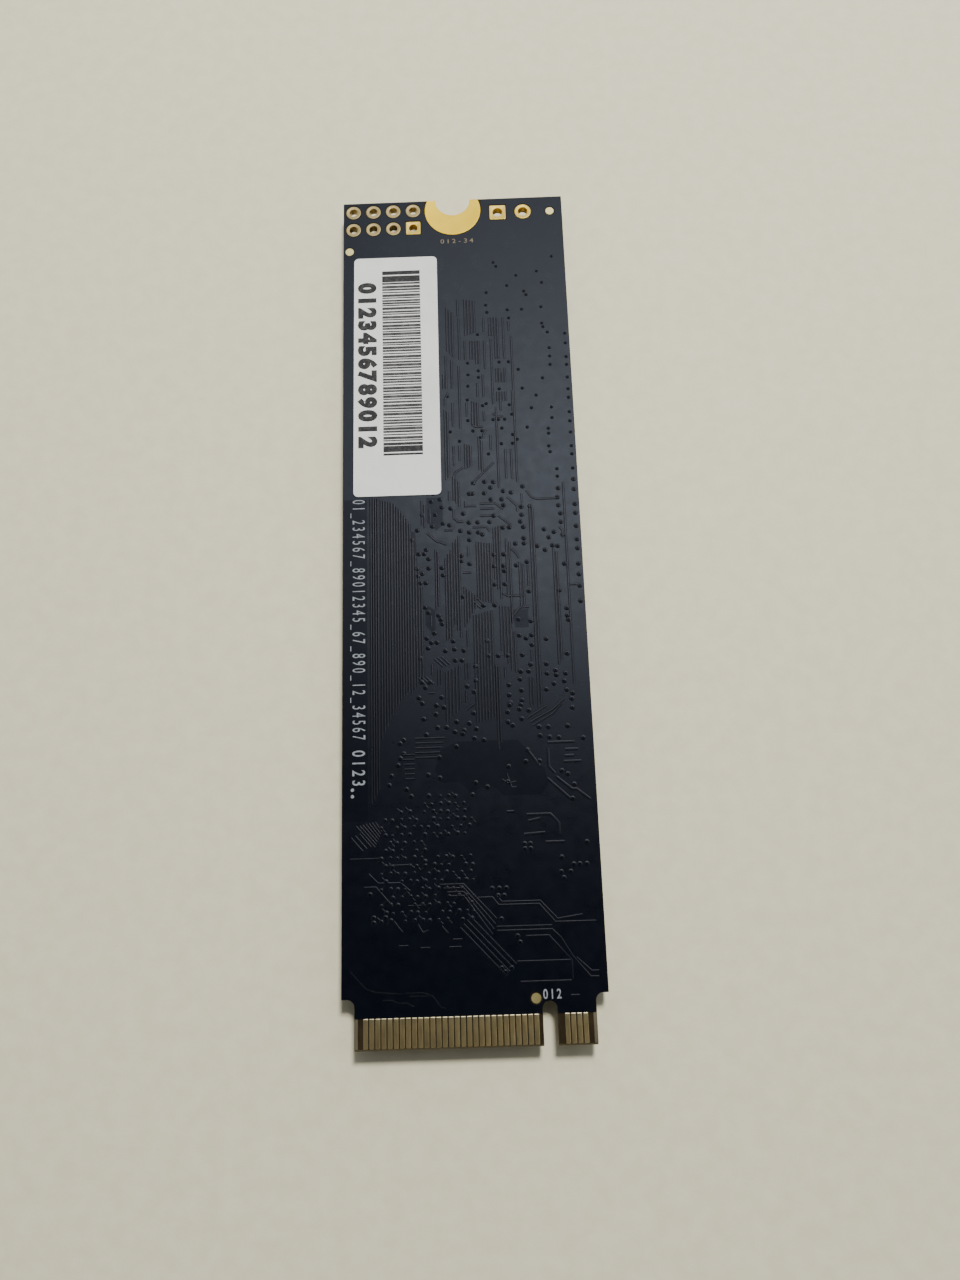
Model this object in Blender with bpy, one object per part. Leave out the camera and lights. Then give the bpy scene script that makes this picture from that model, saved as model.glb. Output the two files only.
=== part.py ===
"""Solid state drive on a bare 22 x 80 mm edge-connector card, lying with its component side down.

+X runs across the card towards the connector key, +Y runs along it from the edge contacts to the
screw notch, and +Z points away from the components. The origin is the middle of the footprint, on
the plane of the four memory packages' flat tops, which the drive rests on. Sizes are in millimetres
and are turned into metres where a mesh is written.
"""

import math

import bmesh
import bpy

MM = 0.001

# Card outline
CARD_WIDTH = 22.0
CARD_LENGTH = 80.0
TONGUE_WIDTH = 19.85
TONGUE_LENGTH = 4.0
SHOULDER_RADIUS = 0.6
KEY_X = 6.125
KEY_WIDTH = 1.2
KEY_DEPTH = 3.5
TIP_CHAMFER = 0.15
SCREW_NOTCH_RADIUS = 1.75

# Layers, from the resting plane up
PACKAGE_HEIGHT = 1.0
BALL_STANDOFF = 0.25
MASK_THICKNESS = 0.03
PLATING = 0.03
LAYER_GAP = 0.01
PAD_GAP = 0.005
CORE_THICKNESS = 0.72
LABEL_THICKNESS = 0.08

FACE_BELOW = PACKAGE_HEIGHT + BALL_STANDOFF
CORE_LOW = FACE_BELOW + MASK_THICKNESS + LAYER_GAP
CORE_HIGH = CORE_LOW + CORE_THICKNESS
FACE_ABOVE = CORE_HIGH + LAYER_GAP + MASK_THICKNESS
PAD_LOW = CORE_LOW - PAD_GAP - PLATING
PAD_HIGH = CORE_HIGH + PAD_GAP + PLATING

# Solder mask
MASK_INSET = 0.03
MASK_CLEARANCE = 0.1
CONTACT_LENGTH_ABOVE = 2.5
CONTACT_LENGTH_BELOW = 2.0

# Edge contacts: pin n sits at (n - PIN_CENTRE) * PIN_STEP
PIN_STEP = 0.25
PIN_CENTRE = 38
CONTACT_WIDTH = 0.37
CONTACT_TIP_MARGIN = 0.17
CONTACT_ROOT = 0.1

# Screw pad round the notch: a U whose round end has its own centre
SCREW_PAD_RADIUS = 2.8
SCREW_PAD_CENTRE_Y = 38.8

# Plated header holes
HEADER_PITCH = 2.0
HEADER_CORNER = (-4.0, 36.92)
HEADER_PAD = 1.45
HEADER_HOLE = 0.8
JUMPER_PITCH = 2.54
JUMPER_START = (4.52, 38.38)
JUMPER_PAD = 1.62
JUMPER_HOLE = 0.95

FIDUCIAL_RADIUS = 0.41
FIDUCIALS_ABOVE = [(9.77, 38.32), (-10.38, 34.42), (5.03, -36.3)]
FIDUCIALS_BELOW = [(9.9, 35.6), (-10.0, -34.6)]

# Paper label
LABEL_SIZE = (8.2, 25.35)
LABEL_CENTRE = (-5.85, 20.85)
LABEL_CORNER = 0.45
LABEL_TURN = math.radians(-0.2)

# Packages on the component side
MEMORY_SIZE = (18.0, 12.0)
MEMORY_PITCH = 13.0
MEMORY_FIRST_Y = 28.0
MEMORY_COUNT = 4
BALL_FIELD_MARGIN = 1.4
BALL_FIELD_GAP = 0.03
CONTROLLER_SIZE = (12.0, 12.0)
CONTROLLER_CENTRE = (-3.0, -25.5)
CONTROLLER_HEIGHT = 0.85
CONTROLLER_STANDOFF = 0.2
SEAT_GAP = 0.02
PACKAGE_EDGE = 0.06

# Small parts: name, centre, size across X, size along Y, height
POWER_PARTS = [
    ("power_regulator", (7.1, -23.7), 4.0, 4.0, 0.75),
    ("load_switch", (7.3, -31.7), 2.0, 2.0, 0.6),
    ("inductor_1", (5.0, -19.2), 2.5, 2.0, 1.0),
    ("inductor_2", (8.6, -19.2), 2.5, 2.0, 1.0),
    ("inductor_3", (9.0, -28.2), 2.0, 2.5, 1.0),
    ("crystal", (5.4, -28.4), 2.5, 2.0, 0.6),
]
BULK_CAPACITORS = [(4.1, -22.5), (4.1, -25.2), (10.1, -22.3), (10.1, -24.9), (4.3, -31.7), (9.8, -32.0)]
BULK_SIZE = (0.8, 1.6, 0.8)
COUPLING_FIRST = (-4.9, -34.4)
COUPLING_PITCH = 1.1
COUPLING_COUNT = 8
COUPLING_SIZE = (0.5, 1.0, 0.5)
RESISTORS = [(-8.6, -33.2), (-7.4, -33.2), (5.9, -34.3), (7.1, -34.3)]
RESISTOR_SIZE = (0.5, 1.0, 0.35)
TERMINAL_LENGTH = 0.25
TERMINAL_STEP = 0.02

ROUND_STEPS = 16
ARC_STEPS = 12
CORNER_STEPS = 4
SHARP_ANGLE = 1.0


def clear_scene():
    """Removes the objects that a new file starts with."""
    for item in list(bpy.data.objects):
        bpy.data.objects.remove(item, do_unlink=True)


def make_material(name, colour, roughness, metallic=0.0):
    """A Principled material of one colour."""
    material = bpy.data.materials.new(name)
    material.use_nodes = True
    shader = material.node_tree.nodes["Principled BSDF"]
    shader.inputs["Base Color"].default_value = (*colour, 1.0)
    shader.inputs["Roughness"].default_value = roughness
    shader.inputs["Metallic"].default_value = metallic
    return material


def finish_object(name, shape, material, place=(0.0, 0.0, 0.0), turn=0.0):
    """Writes a bmesh in millimetres to a named object, standing at a place in millimetres."""
    bmesh.ops.recalc_face_normals(shape, faces=shape.faces)
    for vertex in shape.verts:
        vertex.co *= MM
    mesh = bpy.data.meshes.new(name)
    shape.to_mesh(mesh)
    shape.free()
    mesh.materials.append(material)
    item = bpy.data.objects.new(name, mesh)
    item.location = [value * MM for value in place]
    item.rotation_euler.z = turn
    item.parent = bpy.data.objects["drive"]
    bpy.context.scene.collection.objects.link(item)
    return item


def arc(centre, radius, start, end, steps):
    """Points on an arc, from one angle in degrees to another."""
    points = []
    for step in range(steps + 1):
        angle = math.radians(start + (end - start) * step / steps)
        points.append((centre[0] + radius * math.cos(angle), centre[1] + radius * math.sin(angle)))
    return points


def circle(centre, radius):
    """A closed round outline."""
    return arc(centre, radius, 0, 360, ROUND_STEPS)[:-1]


def square(centre, half):
    """A square outline with as many points as a round one, so the two can be bridged."""
    points = []
    for x, y in circle((0, 0), 1.0):
        reach = half / max(abs(x), abs(y))
        points.append((centre[0] + x * reach, centre[1] + y * reach))
    return points


def rectangle(centre, width, length, corner):
    """A rectangle with rounded corners."""
    points = []
    quarters = [(1, 1, 0), (-1, 1, 90), (-1, -1, 180), (1, -1, 270)]
    for side_x, side_y, start in quarters:
        middle = (centre[0] + side_x * (width / 2 - corner), centre[1] + side_y * (length / 2 - corner))
        points += arc(middle, corner, start, start + 90, CORNER_STEPS)
    return points


def plate(outline, holes, low, high):
    """A flat plate between two heights, with holes through it."""
    shape = bmesh.new()
    edges = []
    for loop in [outline, *holes]:
        corners = [shape.verts.new((x, y, low)) for x, y in loop]
        for index, corner in enumerate(corners):
            edges.append(shape.edges.new((corners[index - 1], corner)))
    bmesh.ops.triangle_fill(shape, use_beauty=True, edges=edges)
    lifted = bmesh.ops.extrude_face_region(shape, geom=shape.faces[:])["geom"]
    rising = [item for item in lifted if isinstance(item, bmesh.types.BMVert)]
    bmesh.ops.translate(shape, vec=(0, 0, high - low), verts=rising)
    return shape


def card_outline(notch, end_y, inset):
    """The card's outline with a given notch path, ending at end_y and drawn in from the true edge."""
    half = CARD_WIDTH / 2 - inset
    far = CARD_LENGTH / 2 - inset
    shoulder = TONGUE_LENGTH - CARD_LENGTH / 2
    tongue = TONGUE_WIDTH / 2 - inset
    bend = SHOULDER_RADIUS + inset
    key_radius = KEY_WIDTH / 2 + inset
    key_round_y = KEY_DEPTH - CARD_LENGTH / 2 - KEY_WIDTH / 2
    bend_x = TONGUE_WIDTH / 2 + SHOULDER_RADIUS
    bend_y = shoulder - SHOULDER_RADIUS
    points = [(-tongue, end_y), (KEY_X - key_radius, end_y)]
    points += arc((KEY_X, key_round_y), key_radius, 180, 0, ARC_STEPS)
    points += [(KEY_X + key_radius, end_y), (tongue, end_y)]
    points += arc((bend_x, bend_y), bend, 180, 90, ARC_STEPS // 2)
    points += [(half, shoulder + inset), (half, far)]
    points += notch
    points += [(-half, far), (-half, shoulder + inset)]
    points += arc((-bend_x, bend_y), bend, 90, 0, ARC_STEPS // 2)
    return points


def screw_pad_point(angle, margin=0.0):
    """Where a ray from the notch centre, at an angle in radians, meets the U of the screw pad."""
    radius = SCREW_PAD_RADIUS + margin
    top = CARD_LENGTH / 2
    drop = top - SCREW_PAD_CENTRE_Y
    across, along = math.cos(angle), math.sin(angle)
    if radius * abs(along) <= drop * abs(across):
        return math.copysign(radius, across), top + radius * along / abs(across)
    reach = -drop * along + math.sqrt(radius**2 - (drop * across) ** 2)
    return reach * across, top + reach * along


def notch_angles():
    """Angles round the screw notch, from its right end to its left end, in radians."""
    steps = 2 * ARC_STEPS
    return [math.radians(360 - 180 * step / steps) for step in range(steps + 1)]


def header_holes():
    """Every plated hole: name, centre, pad size, hole size and whether its pad is square."""
    holes = []
    for row in range(2):
        for column in range(4):
            x = HEADER_CORNER[0] - column * HEADER_PITCH
            y = HEADER_CORNER[1] + row * HEADER_PITCH
            name = f"plated_hole_{len(holes) + 1}"
            holes.append((name, (x, y), HEADER_PAD, HEADER_HOLE, row == 0 and column == 0))
    for column in range(2):
        centre = (JUMPER_START[0] + column * JUMPER_PITCH, JUMPER_START[1])
        name = f"plated_hole_{len(holes) + 1}"
        holes.append((name, centre, JUMPER_PAD, JUMPER_HOLE, column == 0))
    return holes


def pad_outline(centre, size, is_square, margin=0.0):
    """The outline of a header pad, grown by a margin."""
    half = size / 2 + margin
    return square(centre, half) if is_square else circle(centre, half)


def make_core(material):
    """The glass-epoxy card, with its key, shoulders, screw notch and drilled holes."""
    wall = SCREW_NOTCH_RADIUS + PLATING + LAYER_GAP
    notch = [(wall * math.cos(a), CARD_LENGTH / 2 + wall * math.sin(a)) for a in notch_angles()]
    end_y = -CARD_LENGTH / 2
    holes = [circle(centre, hole / 2 + PLATING + LAYER_GAP) for _, centre, _, hole, _ in header_holes()]
    shape = plate(card_outline(notch, end_y, 0.0), holes, CORE_LOW, CORE_HIGH)
    shape.normal_update()
    tip = []
    for edge in shape.edges:
        at_tip = all(vertex.co.y < end_y + PAD_GAP for vertex in edge.verts)
        level = abs(edge.verts[0].co.z - edge.verts[1].co.z) < PAD_GAP
        if at_tip and level and abs(edge.calc_face_angle()) > SHARP_ANGLE:
            tip.append(edge)
    bmesh.ops.bevel(shape, geom=tip, offset=TIP_CHAMFER, segments=1, affect="EDGES")
    finish_object("pcb_core", shape, material)


def make_mask(name, material, low, contact_length, fiducials):
    """One side's solder mask, open over the pads, the holes and the edge contacts."""
    notch = [screw_pad_point(a, MASK_CLEARANCE) for a in notch_angles()]
    notch = [(x, y) for x, y in notch if y < CARD_LENGTH / 2 - MASK_INSET * 2]
    far = CARD_LENGTH / 2 - MASK_INSET
    edge = SCREW_PAD_RADIUS + MASK_CLEARANCE
    notch = [(edge, far), *notch, (-edge, far)]
    holes = [pad_outline(at, pad, sq, MASK_CLEARANCE) for _, at, pad, _, sq in header_holes()]
    holes += [circle(centre, FIDUCIAL_RADIUS + MASK_CLEARANCE) for centre in fiducials]
    outline = card_outline(notch, contact_length - CARD_LENGTH / 2, MASK_INSET)
    finish_object(name, plate(outline, holes, low, low + MASK_THICKNESS), material)


def make_contacts(name, pins, low, length, material):
    """A row of edge contacts, joined at the root by the strip that stands for their tracks."""
    tip_y = CONTACT_TIP_MARGIN - CARD_LENGTH / 2
    root_y = length - CARD_LENGTH / 2 - LAYER_GAP
    strip_y = root_y - CONTACT_ROOT
    first = (pins[0] - PIN_CENTRE) * PIN_STEP - CONTACT_WIDTH / 2
    last = (pins[-1] - PIN_CENTRE) * PIN_STEP + CONTACT_WIDTH / 2
    outline = []
    for pin in pins:
        middle = (pin - PIN_CENTRE) * PIN_STEP
        left, right = middle - CONTACT_WIDTH / 2, middle + CONTACT_WIDTH / 2
        outline += [(left, strip_y), (left, tip_y), (right, tip_y), (right, strip_y)]
    outline += [(last, root_y), (first, root_y)]
    finish_object(name, plate(outline, [], low, low + PLATING), material)


def bridge_rings(rings, closed):
    """Skins a list of rings of equal length, either round on itself or with a face at each end."""
    shape = bmesh.new()
    corners = [[shape.verts.new(point) for point in ring] for ring in rings]
    size = len(corners[0])
    last = len(corners) if closed else len(corners) - 1
    for index in range(last):
        here, there = corners[index], corners[(index + 1) % len(corners)]
        for step in range(size):
            after = (step + 1) % size
            shape.faces.new((here[step], here[after], there[after], there[step]))
    if not closed:
        shape.faces.new(corners[0])
        shape.faces.new(corners[-1])
    return shape


def channel_section(inner, liner, outer):
    """The C-shaped section of plating that lines a wall and folds onto both faces of the card."""
    return [
        (*inner, PAD_LOW),
        (*outer, PAD_LOW),
        (*outer, PAD_LOW + PLATING),
        (*liner, PAD_LOW + PLATING),
        (*liner, PAD_HIGH - PLATING),
        (*outer, PAD_HIGH - PLATING),
        (*outer, PAD_HIGH),
        (*inner, PAD_HIGH),
    ]


def make_plated_hole(name, centre, pad, hole, is_square, material):
    """A plated barrel with a pad on each face."""
    bore = circle((0, 0), hole / 2)
    liner = circle((0, 0), hole / 2 + PLATING)
    outer = pad_outline((0, 0), pad, is_square)
    sections = [channel_section(*points) for points in zip(bore, liner, outer)]
    finish_object(name, bridge_rings(sections, closed=True), material, (*centre, 0.0))


def make_screw_pad(material):
    """The gold pad round the screw notch, folded over the card's edge."""
    top = CARD_LENGTH / 2
    sections = []
    for angle in notch_angles():
        across, along = math.cos(angle), math.sin(angle)
        bore = (SCREW_NOTCH_RADIUS * across, top + SCREW_NOTCH_RADIUS * along)
        wall = SCREW_NOTCH_RADIUS + PLATING
        liner = (wall * across, top + wall * along)
        sections.append(channel_section(bore, liner, screw_pad_point(angle)))
    finish_object("screw_pad", bridge_rings(sections, closed=False), material)


def make_fiducial(name, centre, low, material):
    """A bare round alignment dot for the placing machine."""
    shape = plate(circle((0, 0), FIDUCIAL_RADIUS), [], low, low + PLATING)
    finish_object(name, shape, material, (*centre, 0.0))


def make_label(material):
    """The paper label stuck on the bare side."""
    outline = rectangle((0, 0), *LABEL_SIZE, LABEL_CORNER)
    shape = plate(outline, [], 0.0, LABEL_THICKNESS)
    finish_object("paper_label", shape, material, (*LABEL_CENTRE, FACE_ABOVE + LAYER_GAP), LABEL_TURN)


def block(width, length, low, high, edge):
    """A moulded block with its upright corners rounded."""
    return plate(rectangle((0, 0), width, length, edge), [], low, high)


def make_package(name, centre, size, height, standoff, material):
    """A ball-grid package hanging under the card on its solder balls."""
    high = FACE_BELOW - standoff
    shape = block(*size, high - height, high, PACKAGE_EDGE)
    finish_object(name, shape, material, (*centre, 0.0))


def make_ball_field(name, centre, size, standoff, material):
    """The slab that stands for a package's grid of solder balls."""
    width, length = size[0] - 2 * BALL_FIELD_MARGIN, size[1] - 2 * BALL_FIELD_MARGIN
    low, high = FACE_BELOW - standoff + BALL_FIELD_GAP, FACE_BELOW - BALL_FIELD_GAP
    finish_object(name, block(width, length, low, high, PACKAGE_EDGE), material, (*centre, 0.0))


def make_chip(name, centre, width, length, height, material):
    """A small moulded part soldered flat on the card."""
    high = FACE_BELOW - SEAT_GAP
    shape = block(width, length, high - height, high, PACKAGE_EDGE)
    finish_object(name, shape, material, (*centre, 0.0))


def make_two_ended(name, centre, size, material):
    """A capacitor or resistor along Y, its two metal ends a step thicker than its body."""
    width, length, height = size
    high = FACE_BELOW - SEAT_GAP
    stations = [
        (-length / 2, 0.0),
        (TERMINAL_LENGTH - length / 2, 0.0),
        (TERMINAL_LENGTH - length / 2, TERMINAL_STEP),
        (length / 2 - TERMINAL_LENGTH, TERMINAL_STEP),
        (length / 2 - TERMINAL_LENGTH, 0.0),
        (length / 2, 0.0),
    ]
    rings = []
    for y, step in stations:
        half, low, top = width / 2 - step, high - height + step, high - step
        rings.append([(-half, y, low), (half, y, low), (half, y, top), (-half, y, top)])
    finish_object(name, bridge_rings(rings, closed=False), material, (*centre, 0.0))


def make_card(looks):
    """The card with its mask, contacts, pads and label."""
    make_core(looks["glass_epoxy"])
    mask, gold = looks["solder_mask"], looks["gold_plating"]
    mask_above = CORE_HIGH + LAYER_GAP
    make_mask("solder_mask_bare_side", mask, mask_above, CONTACT_LENGTH_ABOVE, FIDUCIALS_ABOVE)
    make_mask("solder_mask_chip_side", mask, FACE_BELOW, CONTACT_LENGTH_BELOW, FIDUCIALS_BELOW)
    pad_above = CORE_HIGH + PAD_GAP
    make_contacts("contacts_bare_side", range(2, 60, 2), pad_above, CONTACT_LENGTH_ABOVE, gold)
    make_contacts("contacts_bare_side_key_end", range(68, 76, 2), pad_above, CONTACT_LENGTH_ABOVE, gold)
    make_contacts("contacts_chip_side", range(1, 59, 2), PAD_LOW, CONTACT_LENGTH_BELOW, gold)
    make_contacts("contacts_chip_side_key_end", range(67, 77, 2), PAD_LOW, CONTACT_LENGTH_BELOW, gold)
    make_screw_pad(gold)
    for hole in header_holes():
        make_plated_hole(*hole, gold)
    for index, centre in enumerate(FIDUCIALS_ABOVE, 1):
        make_fiducial(f"fiducial_bare_side_{index}", centre, pad_above, gold)
    for index, centre in enumerate(FIDUCIALS_BELOW, 1):
        make_fiducial(f"fiducial_chip_side_{index}", centre, PAD_LOW, gold)
    make_label(looks["label_paper"])


def make_component_side(looks):
    """The memory, the controller, the power parts and the small passives."""
    for index in range(MEMORY_COUNT):
        centre = (0.0, MEMORY_FIRST_Y - index * MEMORY_PITCH)
        name = f"flash_memory_{index + 1}"
        make_package(name, centre, MEMORY_SIZE, PACKAGE_HEIGHT, BALL_STANDOFF, looks["mould_compound"])
        make_ball_field(f"{name}_solder_balls", centre, MEMORY_SIZE, BALL_STANDOFF, looks["solder"])
    height, standoff = CONTROLLER_HEIGHT, CONTROLLER_STANDOFF
    make_package("controller", CONTROLLER_CENTRE, CONTROLLER_SIZE, height, standoff, looks["mould_compound"])
    make_ball_field("controller_solder_balls", CONTROLLER_CENTRE, CONTROLLER_SIZE, standoff, looks["solder"])
    special = {"inductor": looks["ferrite"], "crystal": looks["crystal_can"]}
    for name, centre, width, length, height in POWER_PARTS:
        material = special.get(name.split("_")[0], looks["mould_compound"])
        make_chip(name, centre, width, length, height, material)
    for index, centre in enumerate(BULK_CAPACITORS, 1):
        make_two_ended(f"bulk_capacitor_{index}", centre, BULK_SIZE, looks["capacitor_ceramic"])
    for index in range(COUPLING_COUNT):
        centre = (COUPLING_FIRST[0] + index * COUPLING_PITCH, COUPLING_FIRST[1])
        make_two_ended(f"coupling_capacitor_{index + 1}", centre, COUPLING_SIZE, looks["capacitor_ceramic"])
    for index, centre in enumerate(RESISTORS, 1):
        make_two_ended(f"resistor_{index}", centre, RESISTOR_SIZE, looks["resistor_body"])


def main():
    """Builds the whole drive."""
    clear_scene()
    root = bpy.data.objects.new("drive", None)
    bpy.context.scene.collection.objects.link(root)
    looks = {
        "glass_epoxy": make_material("glass_epoxy", (0.16, 0.13, 0.07), 0.6),
        "solder_mask": make_material("solder_mask", (0.008, 0.012, 0.022), 0.35),
        "gold_plating": make_material("gold_plating", (0.83, 0.62, 0.28), 0.3, 1.0),
        "label_paper": make_material("label_paper", (0.75, 0.75, 0.73), 0.7),
        "mould_compound": make_material("mould_compound", (0.02, 0.02, 0.022), 0.6),
        "solder": make_material("solder", (0.6, 0.6, 0.6), 0.35, 1.0),
        "ferrite": make_material("ferrite", (0.09, 0.09, 0.095), 0.55),
        "crystal_can": make_material("crystal_can", (0.62, 0.6, 0.55), 0.3, 1.0),
        "capacitor_ceramic": make_material("capacitor_ceramic", (0.35, 0.24, 0.15), 0.5),
        "resistor_body": make_material("resistor_body", (0.03, 0.03, 0.035), 0.5),
    }
    make_card(looks)
    make_component_side(looks)


main()
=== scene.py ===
"""Looks of a bare-card solid state drive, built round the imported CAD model.

Pieces are laid out in millimetres in the card's own frame: +X towards the connector key, +Y towards
the screw notch, +Z out of the bare side. They are turned into metres where a mesh is written.
"""

import math
from collections import namedtuple

import bmesh
import bpy
from mathutils import Matrix, Vector


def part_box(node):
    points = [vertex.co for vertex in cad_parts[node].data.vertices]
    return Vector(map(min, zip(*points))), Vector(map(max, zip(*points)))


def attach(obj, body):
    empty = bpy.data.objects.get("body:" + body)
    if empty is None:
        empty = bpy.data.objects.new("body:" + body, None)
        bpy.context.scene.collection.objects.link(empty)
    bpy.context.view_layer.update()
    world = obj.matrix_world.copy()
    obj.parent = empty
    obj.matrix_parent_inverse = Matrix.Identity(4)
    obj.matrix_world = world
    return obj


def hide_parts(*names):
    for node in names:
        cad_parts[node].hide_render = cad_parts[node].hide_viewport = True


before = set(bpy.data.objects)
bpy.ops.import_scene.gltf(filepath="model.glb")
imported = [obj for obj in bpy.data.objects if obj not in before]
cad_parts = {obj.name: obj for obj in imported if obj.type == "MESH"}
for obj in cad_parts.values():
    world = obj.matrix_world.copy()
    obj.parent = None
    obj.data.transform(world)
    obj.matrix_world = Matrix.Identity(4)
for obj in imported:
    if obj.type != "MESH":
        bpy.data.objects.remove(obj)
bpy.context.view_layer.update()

MM = 0.001

# A face of the card: the height of its solder mask, the way it looks, and where the mask ends on the tongue
Side = namedtuple("Side", "level way root")
BARE_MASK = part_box("solder_mask_bare_side")
CHIP_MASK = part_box("solder_mask_chip_side")
BARE = Side(BARE_MASK[1].z / MM, 1, BARE_MASK[0].y / MM)
CHIP = Side(CHIP_MASK[0].z / MM, -1, CHIP_MASK[0].y / MM)
CARD_LOW, CARD_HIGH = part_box("pcb_core")
PLATING_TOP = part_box("contacts_bare_side")[1].z / MM
PLATING_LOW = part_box("contacts_chip_side")[0].z / MM
LABEL_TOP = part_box("paper_label")[1].z / MM

# Camera: the place and lens that put the card's corners where they should be; the lens is in
# millimetres on a 36 mm sensor
CAMERA_PLACE = (2.05, -26.04, 84.29)
CAMERA_TARGET = (1.37, -5.92, 2.05)
CAMERA_ROLL = math.radians(-3.856)
CAMERA_LENS = 26.558

# Light, in millimetres and watts. The room is dim, and each of its shades is a direction with the share
# of light by how near a ray is to it, as (cosine, share). The key casts the shadow. The level panels show
# only in reflections, and are (middle, width and length, power).
ROOM_COLOUR = (0.97, 1.0, 1.04)
ROOM_STRENGTH = 0.95
ROOM_SHADES = [
    ((0.0, -0.17, 0.985), [(0.6, 1.0), (0.8, 0.75), (0.92, 0.25), (0.96, 0.02)]),
    ((0.5, 0.87, 0.0), [(0.0, 0.25), (0.65, 1.0)]),
]
KEY_PLACE = (62.0, 205.0, 345.0)
KEY_SIZE = 75.0
KEY_POWER = 2.75
PANELS = [
    ((150.0, 350.0, 700.0), (520.0, 440.0), 1.2),
    ((140.0, 290.0, 699.0), (460.0, 200.0), 0.62),
]

# Relief of copper under the solder mask: tracks stand between sunk gaps, and vias have a dimple. The gaps and
# dimples are also darkened as painted shade.
TRACK_WIDTH = 0.11
TRACK_HEIGHT = 0.02
TRACK_SLOPE = 0.025
GAP_WIDTH = 0.045
GAP_HEIGHT = 0.003
SINK = 0.01
VIA_RADIUS = 0.23
VIA_HEIGHT = 0.03
DIMPLE_RADIUS = 0.09
VIA_STEPS = 14

# Edge contacts: pins of the two faces alternate, and levels are shares of the plating's thickness
PIN_STEP = 0.25
PIN_CENTRE = 38
CONTACT_WIDTH = 0.37
CONTACT_EDGE = 0.035
BROW = 0.3
TIP_SLOPE, TIP_LEVEL = 0.03, 0.4
ROOT_SLOPE, ROOT_LEVEL = 0.05, 0.55
TIP_Y = CARD_LOW.y / MM + 0.17
TONGUE_FACES = [(-9.91, 5.51), (6.74, 9.91)]
MARGIN_SPAN, DARK_STRIP_SPAN = (9.64, 9.9), (9.3, 9.62)

# Plated holes and the screw notch: hole numbers run through the header and then the jumper
PLATING = 0.03
HEADER_HOLES, HEADER_BORE = 8, 0.4
JUMPER_HOLES, JUMPER_BORE = 2, 0.475
SQUARE_PADS, PAD_CORNER_REACH = (1, 9), 1.36
SCREW_PAD_RADIUS = 2.8
SCREW_NOTCH_RADIUS = 1.75
HOLE_STEPS = 48

# Print: the size of a digit in lettering of size 1
PRINT_THICKNESS = 0.012
GLYPH_WIDTH, GLYPH_HEIGHT = 0.52, 0.73

FLOOR_HALF = 900


# ---------------------------------------------------------------- meshes


class Shape:
    """Closed surfaces in millimetres, gathered to be written as one piece."""

    def __init__(self):
        self.points = []
        self.faces = []

    def skin(self, rings, ends=True):
        """Joins rings of equal length with faces, and closes the first and last."""
        start, size = len(self.points), len(rings[0])
        for ring in rings:
            self.points.extend(ring)
        for row in range(len(rings) - 1):
            for step in range(size):
                here = start + row * size + step
                after = start + row * size + (step + 1) % size
                self.faces.append((here, after, after + size, here + size))
        if ends:
            self.faces.append(tuple(range(start, start + size)))
            self.faces.append(tuple(range(start + (len(rings) - 1) * size, start + len(rings) * size)))

    def hoop(self, rings):
        """Joins rings round on themselves, as in a tube bent into a loop."""
        start, size = len(self.points), len(rings[0])
        self.skin(rings, ends=False)
        last = start + (len(rings) - 1) * size
        for step in range(size):
            after = (step + 1) % size
            self.faces.append((last + step, last + after, start + after, start + step))


def write_piece(name, shape, material, replaced=(), sharp=40.0):
    """Writes a shape as a named piece that rides on the card."""
    mesh = bpy.data.meshes.new(name)
    mesh.from_pydata([[value * MM for value in point] for point in shape.points], [], shape.faces)
    tidy = bmesh.new()
    tidy.from_mesh(mesh)
    bmesh.ops.recalc_face_normals(tidy, faces=tidy.faces)
    tidy.to_mesh(mesh)
    tidy.free()
    mesh.shade_smooth()
    mesh.set_sharp_from_angle(angle=math.radians(sharp))
    mesh.materials.append(material)
    item = bpy.data.objects.new(name, mesh)
    bpy.context.scene.collection.objects.link(item)
    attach(item, "root")
    if replaced:
        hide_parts(*replaced)
    return item


def arc(centre, radius, start, end, steps):
    """Points on an arc, from one angle in degrees to another."""
    points = []
    for step in range(steps + 1):
        angle = math.radians(start + (end - start) * step / steps)
        points.append((centre[0] + radius * math.cos(angle), centre[1] + radius * math.sin(angle)))
    return points


def round_box(centre, width, length, corner, steps=4):
    """A rectangle with rounded corners."""
    points = []
    for side_x, side_y, start in [(1, 1, 0), (-1, 1, 90), (-1, -1, 180), (1, -1, 270)]:
        middle = (centre[0] + side_x * (width / 2 - corner), centre[1] + side_y * (length / 2 - corner))
        points += arc(middle, corner, start, start + 90, steps)
    return points


def raised(outline, height):
    """An outline set at a height."""
    return [(x, y, height) for x, y in outline]


def add_block(shape, centre, width, length, low, high, corner, edge, draft=0.0):
    """A block with rounded corners and edges; draft narrows it towards its high end."""
    rings = []
    span = high - low
    bevel = edge / abs(span)
    for share, drawn_in in [(0.0, edge), (bevel, 0.0), (1 - bevel, draft), (1.0, draft + edge)]:
        outline = round_box(centre, width - 2 * drawn_in, length - 2 * drawn_in, max(corner - drawn_in, 0.01))
        rings.append(raised(outline, low + span * share))
    shape.skin(rings)


def path_sides(path):
    """For each point of a path, the unit sideways direction and how far a mitre stretches it."""
    sides = []
    for index, point in enumerate(path):
        before = path[max(index - 1, 0)]
        after = path[min(index + 1, len(path) - 1)]
        into = Vector(point) - Vector(before) if index else Vector(after) - Vector(point)
        out = Vector(after) - Vector(point) if index < len(path) - 1 else into
        into, out = into.normalized(), out.normalized()
        across = Vector((-into.y - out.y, into.x + out.x)).normalized()
        sides.append((across, 1 / max(across.dot(Vector((-into.y, into.x))), 0.5)))
    return sides


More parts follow.
